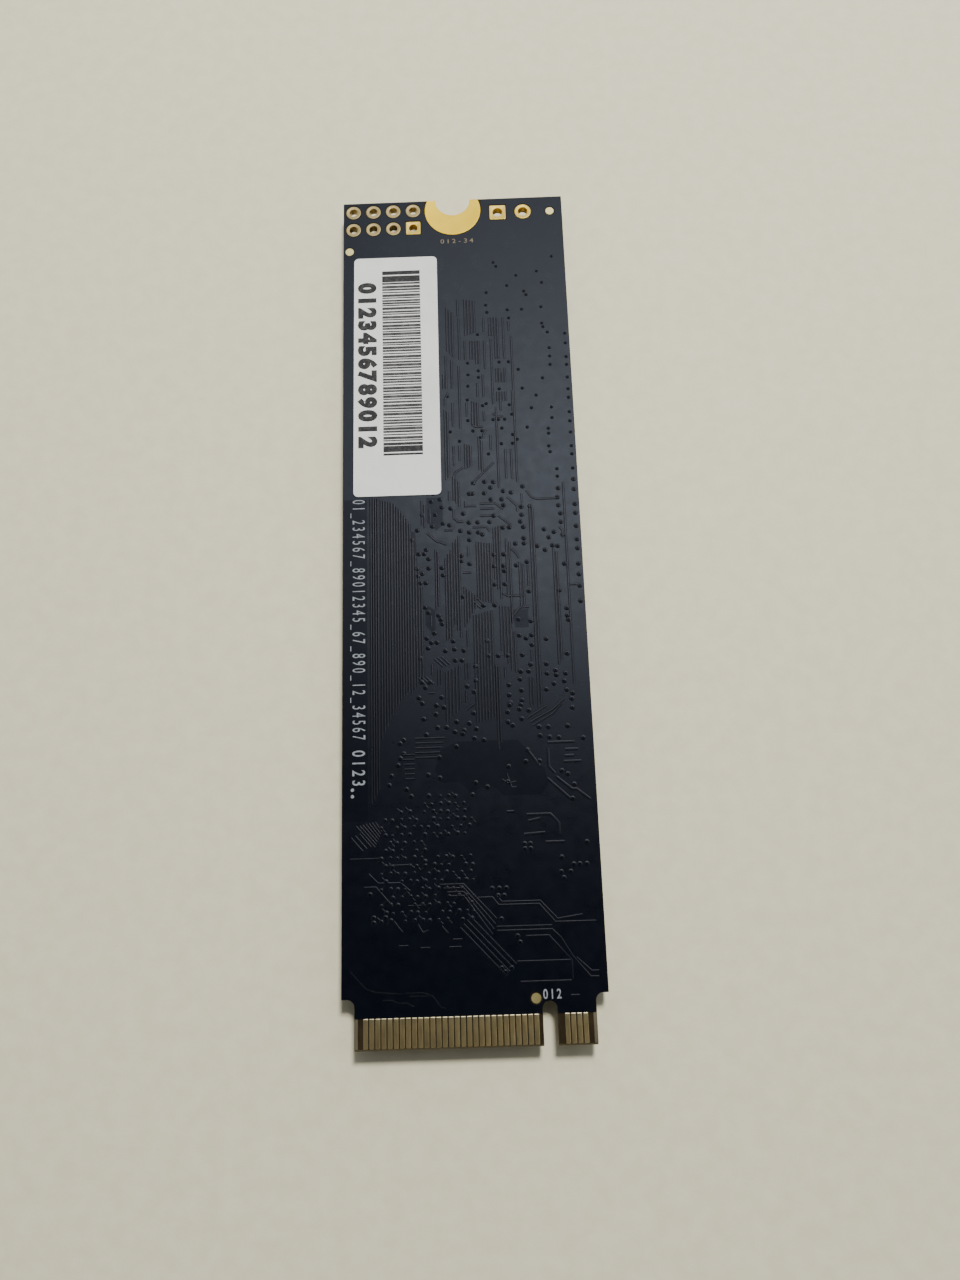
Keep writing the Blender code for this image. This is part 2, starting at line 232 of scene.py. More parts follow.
def add_strip(shape, side, path, profile):
    """Sweeps a low profile, given as (offset, rise) points, along a path on a face of the card."""
    rings = []
    for (x, y), (across, stretch) in zip(path, path_sides(path)):
        ring = []
        for offset, rise in profile:
            shift = offset * stretch
            ring.append((x + across.x * shift, y + across.y * shift, side.level + side.way * rise))
        rings.append(ring)
    shape.skin(rings)


class Relief:
    """Copper that shows through the mask on one face: tracks between sunk gaps, and vias with dimples, the
    gaps and dimples darkened with painted shade.
    """

    def __init__(self, side):
        self.side = side
        self.tracks, self.gaps, self.vias, self.dimples = Shape(), Shape(), Shape(), Shape()

    def add_track(self, path, width=TRACK_WIDTH, height=TRACK_HEIGHT):
        """A low ridge with soft shoulders, in a sunk gap: a flat strip darkened as painted shade of the
        groove.
        """
        half, foot = width / 2, width / 2 + TRACK_SLOPE
        rising = [(-foot, -SINK), (-foot, GAP_HEIGHT), (-half, height * 0.8), (-half * 0.5, height)]
        falling = [(-offset, rise) for offset, rise in reversed(rising)]
        add_strip(self.tracks, self.side, path, rising + falling)
        # The gap strip's darker, less glossy mask is painted shade of the groove beside the ridge.
        edge = foot + GAP_WIDTH
        sunk = [(-edge, -SINK), (-edge, GAP_HEIGHT), (edge, GAP_HEIGHT), (edge, -SINK)]
        add_strip(self.gaps, self.side, path, sunk)

    def add_via(self, x, y, radius=VIA_RADIUS, inner=DIMPLE_RADIUS):
        """A small plated hole closed over by the mask: a raised ring round a dimple, darkened by a disc of
        painted shade.
        """
        level, way = self.side.level, self.side.way
        profile = [
            (radius + TRACK_SLOPE, -SINK),
            (radius, VIA_HEIGHT * 0.2),
            (radius * 0.75, VIA_HEIGHT * 0.75),
            (inner + TRACK_SLOPE, VIA_HEIGHT),
            (inner, -SINK),
        ]
        rings = []
        for reach, rise in profile:
            rings.append(raised(arc((x, y), reach, 0, 360, VIA_STEPS)[:-1], level + way * rise))
        self.vias.hoop([list(ring) for ring in zip(*rings)])
        # The dimple is a flat disc of darker, less glossy mask: painted shade of the pit.
        low, high = level - way * SINK, level + way * GAP_HEIGHT * 1.5
        add_disc(self.dimples, (x, y), inner + TRACK_SLOPE / 2, low, high, VIA_STEPS)

    def write(self, face, looks):
        """Writes the four pieces of a face."""
        write_piece(f"tracks_{face}", self.tracks, looks["mask_on_copper"], sharp=60)
        write_piece(f"vias_{face}", self.vias, looks["mask_on_copper"], sharp=60)
        write_piece(f"gaps_{face}", self.gaps, looks["mask_gap_shade"], sharp=60)
        write_piece(f"dimples_{face}", self.dimples, looks["mask_dimple_shade"])


def add_disc(shape, centre, radius, low, high, steps=16):
    """A thin round disc."""
    outline = arc(centre, radius, 0, 360, steps)[:-1]
    shape.skin([raised(outline, low), raised(outline, high)])


def add_bar(shape, x_span, y_span, low, high):
    """A thin rectangular bar."""
    (x0, x1), (y0, y1) = x_span, y_span
    outline = [(x0, y0), (x1, y0), (x1, y1), (x0, y1)]
    shape.skin([raised(outline, low), raised(outline, high)])


def glyph_mesh(mark, weight):
    """One character as a flat-extruded mesh of unit-size lettering, centred on its own middle."""
    curve = bpy.data.curves.new("glyph", type="FONT")
    curve.body = mark
    curve.size = 1.0
    curve.offset = weight
    curve.extrude = 0.5
    curve.resolution_u = 4
    curve.fill_mode = "BOTH"
    item = bpy.data.objects.new("glyph", curve)
    bpy.context.scene.collection.objects.link(item)
    bpy.context.view_layer.update()
    mesh = bpy.data.meshes.new_from_object(item.evaluated_get(bpy.context.evaluated_depsgraph_get()))
    bpy.data.objects.remove(item)
    welded = bmesh.new()
    welded.from_mesh(mesh)
    bmesh.ops.remove_doubles(welded, verts=welded.verts, dist=1e-5)
    welded.to_mesh(mesh)
    welded.free()
    return mesh


def add_marks(shape, marks, start, step, height, width, level, way=1, turn=0.0, weight=0.0,
              thickness=PRINT_THICKNESS):
    """Printed characters in a row, read from the side that way looks to.

    Start is the first one's middle and step the way to the next.
    """
    spin = Matrix.Rotation(turn, 2)
    for index, mark in enumerate(marks):
        if mark == " ":
            continue
        mesh = glyph_mesh(mark, weight)
        xs = [vertex.co.x for vertex in mesh.vertices]
        tall = height / GLYPH_HEIGHT
        wide = width / GLYPH_WIDTH
        middle_x = (min(xs) + max(xs)) / 2
        middle_y = GLYPH_HEIGHT / 2
        base = len(shape.points)
        for vertex in mesh.vertices:
            flat = spin @ Vector(((vertex.co.x - middle_x) * wide * way, (vertex.co.y - middle_y) * tall))
            rise = thickness if vertex.co.z > 0 else 0.0
            x = start[0] + step[0] * index + flat.x
            y = start[1] + step[1] * index + flat.y
            shape.points.append((x, y, level + way * rise))
        for face in mesh.polygons:
            shape.faces.append(tuple(base + corner for corner in face.vertices))
        bpy.data.meshes.remove(mesh)


# ------------------------------------------------------------- materials


def new_material(name, colour, roughness, metallic=0.0, specular=0.5):
    """A node material with its Principled shader set; returns the material and its node tree."""
    material = bpy.data.materials.new(name)
    material.use_nodes = True
    tree = material.node_tree
    shader = tree.nodes["Principled BSDF"]
    shader.inputs["Base Color"].default_value = (*colour, 1.0)
    shader.inputs["Roughness"].default_value = roughness
    shader.inputs["Metallic"].default_value = metallic
    shader.inputs["Specular IOR Level"].default_value = specular
    return material, tree


def object_coordinates(tree, stretch=(1.0, 1.0, 1.0)):
    """Object coordinates in metres, stretched along each axis."""
    source = tree.nodes.new("ShaderNodeTexCoord")
    mapping = tree.nodes.new("ShaderNodeMapping")
    mapping.inputs["Scale"].default_value = stretch
    tree.links.new(source.outputs["Object"], mapping.inputs["Vector"])
    return mapping.outputs["Vector"]


def add_noise(tree, size_mm, detail=3.0, stretch=(1.0, 1.0, 1.0)):
    """Noise with features of about a given size, as a value between 0 and 1."""
    noise = tree.nodes.new("ShaderNodeTexNoise")
    noise.inputs["Scale"].default_value = 1 / (size_mm * MM)
    noise.inputs["Detail"].default_value = detail
    tree.links.new(object_coordinates(tree, stretch), noise.inputs["Vector"])
    return noise.outputs["Fac"]


def add_ramp(tree, value, stops):
    """A colour ramp over a value; stops are (place, colour)."""
    ramp = tree.nodes.new("ShaderNodeValToRGB")
    elements = ramp.color_ramp.elements
    while len(elements) < len(stops):
        elements.new(0.5)
    for element, (place, colour) in zip(elements, stops):
        element.position = place
        element.color = (*colour, 1.0)
    tree.links.new(value, ramp.inputs["Fac"])
    return ramp.outputs["Color"]


def link_colour(tree, colour):
    """Feeds a colour to the shader."""
    tree.links.new(colour, tree.nodes["Principled BSDF"].inputs["Base Color"])


def vary_roughness(tree, value, low, high):
    """Lets a value between 0.3 and 0.7 move the roughness between two figures."""
    spread = tree.nodes.new("ShaderNodeMapRange")
    spread.inputs["From Min"].default_value = 0.3
    spread.inputs["From Max"].default_value = 0.7
    spread.inputs["To Min"].default_value = low
    spread.inputs["To Max"].default_value = high
    tree.links.new(value, spread.inputs["Value"])
    tree.links.new(spread.outputs["Result"], tree.nodes["Principled BSDF"].inputs["Roughness"])


def add_bump(tree, value, depth_mm, strength=1.0):
    """Fine surface relief from a value."""
    bump = tree.nodes.new("ShaderNodeBump")
    bump.inputs["Distance"].default_value = depth_mm * MM
    bump.inputs["Strength"].default_value = strength
    tree.links.new(value, bump.inputs["Height"])
    tree.links.new(bump.outputs["Normal"], tree.nodes["Principled BSDF"].inputs["Normal"])


def add_coordinate(tree, axis):
    """One object coordinate in metres."""
    parts = tree.nodes.new("ShaderNodeSeparateXYZ")
    tree.links.new(object_coordinates(tree), parts.inputs["Vector"])
    return parts.outputs[axis]


def add_range(tree, value, low, high):
    """A value between two limits, scaled to run from 0 to 1."""
    spread = tree.nodes.new("ShaderNodeMapRange")
    spread.inputs["From Min"].default_value = low
    spread.inputs["From Max"].default_value = high
    tree.links.new(value, spread.inputs["Value"])
    return spread.outputs["Result"]


def solder_mask_look(name, dark, light, specular=0.42, roughness=0.3, tint=(0.83, 0.89, 1.0)):
    """Blue-black solder mask: half gloss, a little uneven in tone, with a fine orange peel."""
    material, tree = new_material(name, dark, roughness, specular=specular)
    tree.nodes["Principled BSDF"].inputs["Specular Tint"].default_value = (*tint, 1.0)
    link_colour(tree, add_ramp(tree, add_noise(tree, 2.5), [(0.35, dark), (0.65, light)]))
    vary_roughness(tree, add_noise(tree, 0.9), roughness - 0.03, roughness + 0.03)
    add_bump(tree, add_noise(tree, 0.16, detail=2.0), 0.003)
    return material


def gold_look(name, colour, worn, roughness, metallic=1.0):
    """Gold over copper, faintly stained and grained; metallic below 1 makes it partly matt."""
    material, tree = new_material(name, colour, roughness, metallic=metallic, specular=0.1)
    link_colour(tree, add_ramp(tree, add_noise(tree, 1.6), [(0.3, worn), (0.6, colour)]))
    vary_roughness(tree, add_noise(tree, 0.5), roughness - 0.06, roughness + 0.08)
    add_bump(tree, add_noise(tree, 0.09), 0.001)
    return material


def contact_look():
    """Contact gold of an even tone, with a painted highlight brightening it at the root and painted shade
    browning its tip.
    """
    root_highlight, dull, brown = (1.0, 0.84, 0.5), (1.0, 0.78, 0.37), (0.65, 0.46, 0.19)
    material, tree = new_material("contact_gold", root_highlight, 0.33, metallic=1.0)
    along = add_range(tree, add_coordinate(tree, "Y"), CARD_LOW.y, CARD_LOW.y + 2.6 * MM)
    # Painted shade: brown at the tip, where the edge's chamfer is shaded. Painted highlight: pale at the
    # root, where the plating's step catches light.
    stops = [(0.0, brown), (0.1, dull), (0.7, dull), (0.85, (1.0, 0.8, 0.4)), (0.96, root_highlight)]
    link_colour(tree, add_ramp(tree, along, stops))
    vary_roughness(tree, add_noise(tree, 0.3, stretch=(1.0, 0.3, 1.0)), 0.3, 0.36)
    add_bump(tree, add_noise(tree, 0.1, stretch=(1.0, 0.1, 1.0)), 0.0002)
    return material


def laminate_look(name, tone, resin):
    """Sawn glass-epoxy: resin and cloth in layers, seen on the card's edges."""
    material, tree = new_material(name, tone, 0.6, specular=0.2)
    layers = add_noise(tree, 0.1, stretch=(0.04, 0.04, 1.0))
    link_colour(tree, add_ramp(tree, layers, [(0.38, resin), (0.5, tone), (0.62, resin)]))
    add_bump(tree, add_noise(tree, 0.05), 0.006)
    return material


def card_look():
    """The card's laminate: pale where it is sawn, dark brown over the inner copper on its two faces."""
    sawn, dark = (0.105, 0.082, 0.042), (0.02, 0.015, 0.007)
    material, tree = new_material("laminate", sawn, 0.6, specular=0.2)
    through = add_range(tree, add_coordinate(tree, "Z"), CARD_LOW.z, CARD_HIGH.z)
    stops = [(0.01, dark), (0.03, sawn), (0.3, (0.06, 0.045, 0.02)), (0.7, sawn), (0.97, sawn), (0.99, dark)]
    link_colour(tree, add_ramp(tree, through, stops))
    add_bump(tree, add_noise(tree, 0.1, stretch=(0.04, 0.04, 1.0)), 0.006)
    return material


def paper_look():
    """Coated label paper, slightly grey, with a fine tooth."""
    white, grey = (0.655, 0.66, 0.635), (0.59, 0.595, 0.58)
    material, tree = new_material("label_paper", white, 0.55, specular=0.3)
    link_colour(tree, add_ramp(tree, add_noise(tree, 3.5), [(0.3, grey), (0.6, white)]))
    vary_roughness(tree, add_noise(tree, 0.6), 0.5, 0.62)
    add_bump(tree, add_noise(tree, 0.05, detail=5.0), 0.003)
    return material


def ink_look(name, colour, faded, size_mm, roughness=0.6):
    """Printing ink, a little uneven."""
    material, tree = new_material(name, colour, roughness, specular=0.3)
    link_colour(tree, add_ramp(tree, add_noise(tree, size_mm), [(0.35, faded), (0.55, colour)]))
    add_bump(tree, add_noise(tree, size_mm / 2), 0.002)
    return material


def mould_look(name, tone, light):
    """Black moulding compound with a fine matt grain and pale filler specks."""
    material, tree = new_material(name, tone, 0.6, specular=0.35)
    link_colour(tree, add_ramp(tree, add_noise(tree, 0.07, detail=5.0), [(0.45, tone), (0.75, light)]))
    vary_roughness(tree, add_noise(tree, 0.4), 0.5, 0.66)
    add_bump(tree, add_noise(tree, 0.05, detail=4.0), 0.006)
    return material


def tin_look(name, tone, roughness):
    """Solder or tinned metal with soft grainy patches."""
    dark = tuple(value * 0.7 for value in tone)
    material, tree = new_material(name, tone, roughness, metallic=1.0)
    link_colour(tree, add_ramp(tree, add_noise(tree, 0.25), [(0.3, dark), (0.6, tone)]))
    vary_roughness(tree, add_noise(tree, 0.15), roughness - 0.08, roughness + 0.1)
    add_bump(tree, add_noise(tree, 0.1), 0.004)
    return material


def ceramic_look(name, tone, dark, grain_mm=0.1):
    """Fired ceramic or pressed powder."""
    material, tree = new_material(name, tone, 0.5, specular=0.4)
    link_colour(tree, add_ramp(tree, add_noise(tree, grain_mm, detail=4.0), [(0.3, dark), (0.6, tone)]))
    vary_roughness(tree, add_noise(tree, 0.3), 0.42, 0.58)
    add_bump(tree, add_noise(tree, grain_mm / 2), 0.004)
    return material


def floor_look():
    """A plain pale tabletop with a soft sheen."""
    pale, paler = (0.60, 0.565, 0.40), (0.64, 0.605, 0.435)
    material, tree = new_material("floor", pale, 0.5, specular=0.4)
    link_colour(tree, add_ramp(tree, add_noise(tree, 1.5, detail=4.0), [(0.35, pale), (0.65, paler)]))
    vary_roughness(tree, add_noise(tree, 5.0), 0.42, 0.55)
    add_bump(tree, add_noise(tree, 0.7, detail=2.0), 0.02, strength=0.6)
    return material


def make_looks():
    """Every material of the drive, by name."""
    return {
        "mask": solder_mask_look("solder_mask", (0.0009, 0.0014, 0.0034), (0.0012, 0.0019, 0.0043)),
        "mask_on_copper": solder_mask_look(
            "mask_on_copper", (0.0018, 0.0027, 0.005), (0.0023, 0.0034, 0.006), 0.44, tint=(0.95, 0.93, 1.0)),
        "mask_on_laminate": solder_mask_look(
            "mask_on_laminate", (0.0008, 0.0013, 0.0032), (0.001, 0.0016, 0.0038), 0.29, 0.32),
        # Painted shade: darker, less glossy mask for the grooves beside tracks and the pits of vias.
        "mask_gap_shade": solder_mask_look("mask_gap_shade", (0.001, 0.0015, 0.003), (0.0013, 0.002, 0.0038), 0.27, 0.34),
        "mask_dimple_shade": solder_mask_look(
            "mask_dimple_shade", (0.0007, 0.0009, 0.0016), (0.0009, 0.0012, 0.002), 0.15, 0.4),
        "gold": gold_look("gold_plating", (1.0, 0.68, 0.05), (0.95, 0.62, 0.04), 0.34, 0.68),
        "pad_gold": gold_look("pad_gold", (0.97, 0.69, 0.15), (0.9, 0.62, 0.12), 0.34),
        "header_gold": gold_look("header_gold", (0.62, 0.47, 0.2), (0.52, 0.4, 0.18), 0.36),
        "dot_gold": gold_look("dot_gold", (0.97, 0.82, 0.34), (0.93, 0.78, 0.32), 0.34, 0.94),
        "contact": contact_look(),
        "laminate": card_look(),
        "pale_laminate": laminate_look("pale_laminate", (0.075, 0.062, 0.04), (0.1, 0.085, 0.058)),
        "dark_laminate": laminate_look("dark_laminate", (0.014, 0.009, 0.003), (0.021, 0.014, 0.006)),
        "paper": paper_look(),
        "label_ink": ink_look("label_ink", (0.02, 0.02, 0.021), (0.045, 0.044, 0.043), 0.25),
        "bar_ink": ink_look("bar_ink", (0.036, 0.036, 0.035), (0.07, 0.069, 0.067), 0.6),
        "white_ink": ink_look("white_ink", (0.22, 0.24, 0.26), (0.15, 0.168, 0.188), 0.3),
        "copper_print": ink_look("copper_print", (0.2, 0.16, 0.1), (0.12, 0.1, 0.075), 0.3),
        "mould": mould_look("mould_compound", (0.018, 0.018, 0.019), (0.05, 0.05, 0.052)),
        "laser_mark": ink_look("laser_mark", (0.11, 0.11, 0.115), (0.07, 0.07, 0.072), 0.2),
        "substrate": ceramic_look("package_substrate", (0.02, 0.045, 0.026), (0.012, 0.03, 0.018)),
        "solder": tin_look("solder", (0.62, 0.62, 0.62), 0.34),
        "tin": tin_look("tinned_ends", (0.66, 0.65, 0.62), 0.42),
        "lid": tin_look("crystal_lid", (0.68, 0.65, 0.58), 0.3),
        "ferrite": ceramic_look("ferrite", (0.10, 0.10, 0.105), (0.055, 0.055, 0.06), 0.06),
        "capacitor": ceramic_look("capacitor_ceramic", (0.36, 0.23, 0.13), (0.27, 0.165, 0.09)),
        "resistor": ceramic_look("resistor_coat", (0.02, 0.02, 0.023), (0.035, 0.035, 0.04)),
        "crystal_base": ceramic_look("crystal_base", (0.16, 0.14, 0.12), (0.11, 0.095, 0.08)),
    }


# ------------------------------------------------------------ bare side


def dress_card(looks):
    """New materials for the CAD nodes whose shapes are right."""
    for name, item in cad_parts.items():
        look = None
        if name == "pcb_core":
            look = looks["laminate"]
        elif name.startswith("solder_mask"):
            look = looks["mask"]
        elif name.startswith("fiducial"):
            look = looks["dot_gold"]
        elif name == "paper_label":
            look = looks["paper"]
        if look:
            item.data.materials.clear()
            item.data.materials.append(look)


def make_contact_row(name, node, pins, side, looks):
    """Separate gold contacts in place of a CAD comb, each with soft edges, a low tip and a low root."""
    shape = Shape()
    face, high = (CARD_HIGH.z / MM, PLATING_TOP) if side is BARE else (CARD_LOW.z / MM, PLATING_LOW)
    low = face + side.way * 0.002
    root_y = side.root - 0.006
    stations = [
        (TIP_Y, TIP_LEVEL, TIP_SLOPE),
        (TIP_Y + TIP_SLOPE, 1.0, 0.0),
        (root_y - ROOT_SLOPE, 1.0, 0.0),
        (root_y, ROOT_LEVEL, 0.0),
    ]
    for pin in pins:
        x = (pin - PIN_CENTRE) * PIN_STEP
        rings = []
        for y, level, drawn_in in stations:
            half = CONTACT_WIDTH / 2 - drawn_in
            rise = (high - low) * level
            left = [
                (x - half, y, low),
                (x - half, y, low + rise * (1 - BROW)),
                (x - half + CONTACT_EDGE, y, low + rise),
            ]
            right = [(2 * x - near, y, height) for near, _, height in reversed(left)]
            rings.append(left + right)
        shape.skin(rings)
    write_piece(name, shape, looks["contact"], [node], sharp=8)


def make_contacts(looks):
    """All four rows of edge contacts."""
    rows = [
        ("edge_contacts_bare", "contacts_bare_side", range(2, 60, 2), BARE),
        ("edge_contacts_bare_key_end", "contacts_bare_side_key_end", range(68, 76, 2), BARE),
        ("edge_contacts_chip", "contacts_chip_side", range(1, 59, 2), CHIP),
        ("edge_contacts_chip_key_end", "contacts_chip_side_key_end", range(67, 77, 2), CHIP),
    ]
    for name, node, pins, side in rows:
        make_contact_row(name, node, pins, side, looks)


def make_tongue_faces(looks):
    """Dark bare laminate between the contacts, on both sides of the key slot."""
    shape = Shape()
    for side, face in ((BARE, CARD_HIGH.z / MM), (CHIP, CARD_LOW.z / MM)):
        low, high = face - side.way * 0.001, face + side.way * 0.002
        root_y = side.root - 0.002
        for x_span in TONGUE_FACES:
            add_bar(shape, x_span, (TIP_Y - 0.01, root_y), low, high)
    write_piece("tongue_faces", shape, looks["dark_laminate"])


def make_tongue_margins(looks):
    """Bare laminate at the ends of the contact row: a dark strip beside a pale margin."""
    low = CARD_HIGH.z / MM + 0.003
    root_y = BARE.root - 0.01
    pale, dark = Shape(), Shape()
    for way in (-1, 1):
        pale_span = sorted(way * x for x in MARGIN_SPAN)
        dark_span = sorted(way * x for x in DARK_STRIP_SPAN)
        add_bar(pale, pale_span, (TIP_Y, root_y), low, low + 0.004)
        add_bar(dark, dark_span, (TIP_Y + 0.06, root_y - 0.45), low, low + 0.006)
    write_piece("tongue_margins", pale, looks["pale_laminate"])
    write_piece("tongue_dark_strips", dark, looks["dark_laminate"])


def plating_section(inner, outer, low, high):
    """A cut through plating from a hole's edge to a pad's edge, on both faces and down the wall.

    Its points are (distance from the hole's edge, drop below the pad's highest line).
    """
    path = Vector(outer) - Vector(inner)
    reach = path.length
    lip = [(0.0, 0.03), (0.015, 0.012), (0.05, 0.007)]
    rim = [(reach - 0.12, 0.006), (reach - 0.08, 0.0), (reach - 0.03, 0.0), (reach, 0.01)]
    face = lip + rim
    inside = [(reach, PLATING), (PLATING, PLATING)]
    ring = []
    for distance, drop in face + inside:
        spot = Vector(inner) + path * (distance / reach)
        ring.append((spot.x, spot.y, high - drop))
    for distance, drop in reversed(face + inside):
        spot = Vector(inner) + path * (distance / reach)
        ring.append((spot.x, spot.y, low + drop))
    return ring


def make_plated_hole(number, looks):
    """A finely turned plated hole in place of its CAD eyelet; the first of each group has a square pad."""
    node = f"plated_hole_{number}"
    low, high = (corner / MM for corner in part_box(node))
    centre = Vector(((low.x + high.x) / 2, (low.y + high.y) / 2))
    half = (high.x - low.x) / 2
    bore = HEADER_BORE if number <= HEADER_HOLES else JUMPER_BORE
    shape = Shape()
    rings = []
    for step in range(HOLE_STEPS):
        angle = 2 * math.pi * step / HOLE_STEPS
        way = Vector((math.cos(angle), math.sin(angle)))
        reach = half
        if number in SQUARE_PADS:
            reach = min(half / max(abs(way.x), abs(way.y)), half * PAD_CORNER_REACH)
        rings.append(plating_section(centre + way * bore, centre + way * reach, low.z, high.z))
    shape.hoop(rings)
    look = looks["pad_gold" if number in SQUARE_PADS or number > HEADER_HOLES else "header_gold"]
    write_piece(f"plated_through_hole_{number}", shape, look, [node], sharp=50)


def make_screw_pad(looks):
    """The gold pad round the screw notch, with its plated wall and a faint rim."""
    low, high = (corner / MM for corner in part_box("screw_pad"))
    edge_y = CARD_HIGH.y / MM
    pad_y = low.y + SCREW_PAD_RADIUS
    rise = math.degrees(math.asin((high.y - pad_y) / SCREW_PAD_RADIUS))
    inner = arc((0, edge_y), SCREW_NOTCH_RADIUS, 180, 360, 2 * HOLE_STEPS)
    outer = arc((0, pad_y), SCREW_PAD_RADIUS, 180 - rise, 360 + rise, 2 * HOLE_STEPS)
    inner = [(x, min(y, high.y)) for x, y in inner]
    shape = Shape()
    shape.skin([plating_section(near, far, low.z, high.z) for near, far in zip(inner, outer)])
    write_piece("screw_pad_plating", shape, looks["gold"], ["screw_pad"], sharp=50)


# Label print: the bars run across the label and stack along it; widths and gaps are in modules
BAR_SPAN = (-7.15, -3.42)
BAR_TOP, BAR_BOTTOM = 32.0, 12.25
BAR_WIDTHS = (3, 4, 3, 2, 4, 2, 3, 3, 2, 4, 3, 2, 4, 2)
BAR_GAPS = (2, 1, 2, 1, 2, 2, 1, 2, 1, 1, 2)
BAR_COUNT = 56
FIRST_BARS, LAST_BARS = (6, 10), (4, 9, 3)
LABEL_DIGITS = "0123456789012"
DIGIT_START, DIGIT_STEP = (-8.58, 30.17), (0, -1.375)
DIGIT_HEIGHT, DIGIT_WIDTH, DIGIT_WEIGHT = 1.6, 1.08, 0.07
EDGE_PRINT = "01_234567_89012345_67_890_12_34567"
READ_DOWN = math.radians(-90)


def make_label_print(looks):
    """Generic bars and counting digits on the label."""
    low, high = LABEL_TOP - 0.002, LABEL_TOP + PRINT_THICKNESS / 2
    bars, end_bars = Shape(), Shape()
    middle = [BAR_WIDTHS[index % len(BAR_WIDTHS)] for index in range(BAR_COUNT)]
    widths = [*FIRST_BARS, *middle, *LAST_BARS]
    gaps = [BAR_GAPS[index % len(BAR_GAPS)] for index in range(len(widths) - 1)]
    module = (BAR_TOP - BAR_BOTTOM) / (sum(widths) + sum(gaps))
    y = BAR_TOP
    for index, width in enumerate(widths):
        at_end = not len(FIRST_BARS) <= index < len(FIRST_BARS) + BAR_COUNT
        add_bar(end_bars if at_end else bars, BAR_SPAN, (y - width * module, y), low, high)
        y -= width * module + (gaps[index] * module if index < len(gaps) else 0)
    write_piece("label_bars", bars, looks["bar_ink"])
    write_piece("label_end_bars", end_bars, looks["label_ink"])
    digits = Shape()
    add_marks(digits, LABEL_DIGITS, DIGIT_START, DIGIT_STEP, DIGIT_HEIGHT, DIGIT_WIDTH, low, turn=READ_DOWN,
              weight=DIGIT_WEIGHT, thickness=high - low)
    write_piece("label_digits", digits, looks["label_ink"])


def make_board_print(looks):
    """White counting digits along the left edge and by the key, and dull ones under the notch."""
    low = BARE.level - 0.002
    white = Shape()
    add_marks(white, EDGE_PRINT, (-9.47, 7.7), (0, -0.668), 1.2, 0.47, low, turn=READ_DOWN)
    add_marks(white, "0123", (-9.5, -15.75), (0, -0.85), 1.15, 0.6, low, turn=READ_DOWN, weight=0.01)
    for y in (-18.9, -19.45):
        add_disc(white, (-10.08, y), 0.15, low, low + PRINT_THICKNESS)
    add_marks(white, "012", (5.8, -35.97), (0.56, 0), 0.78, 0.42, low, weight=0.015)
    write_piece("board_print", white, looks["white_ink"])
    dull = Shape()
    add_marks(dull, "012-34", (-1.1, 35.25), (0.58, 0), 0.5, 0.42, low)
    write_piece("board_print_by_notch", dull, looks["copper_print"])


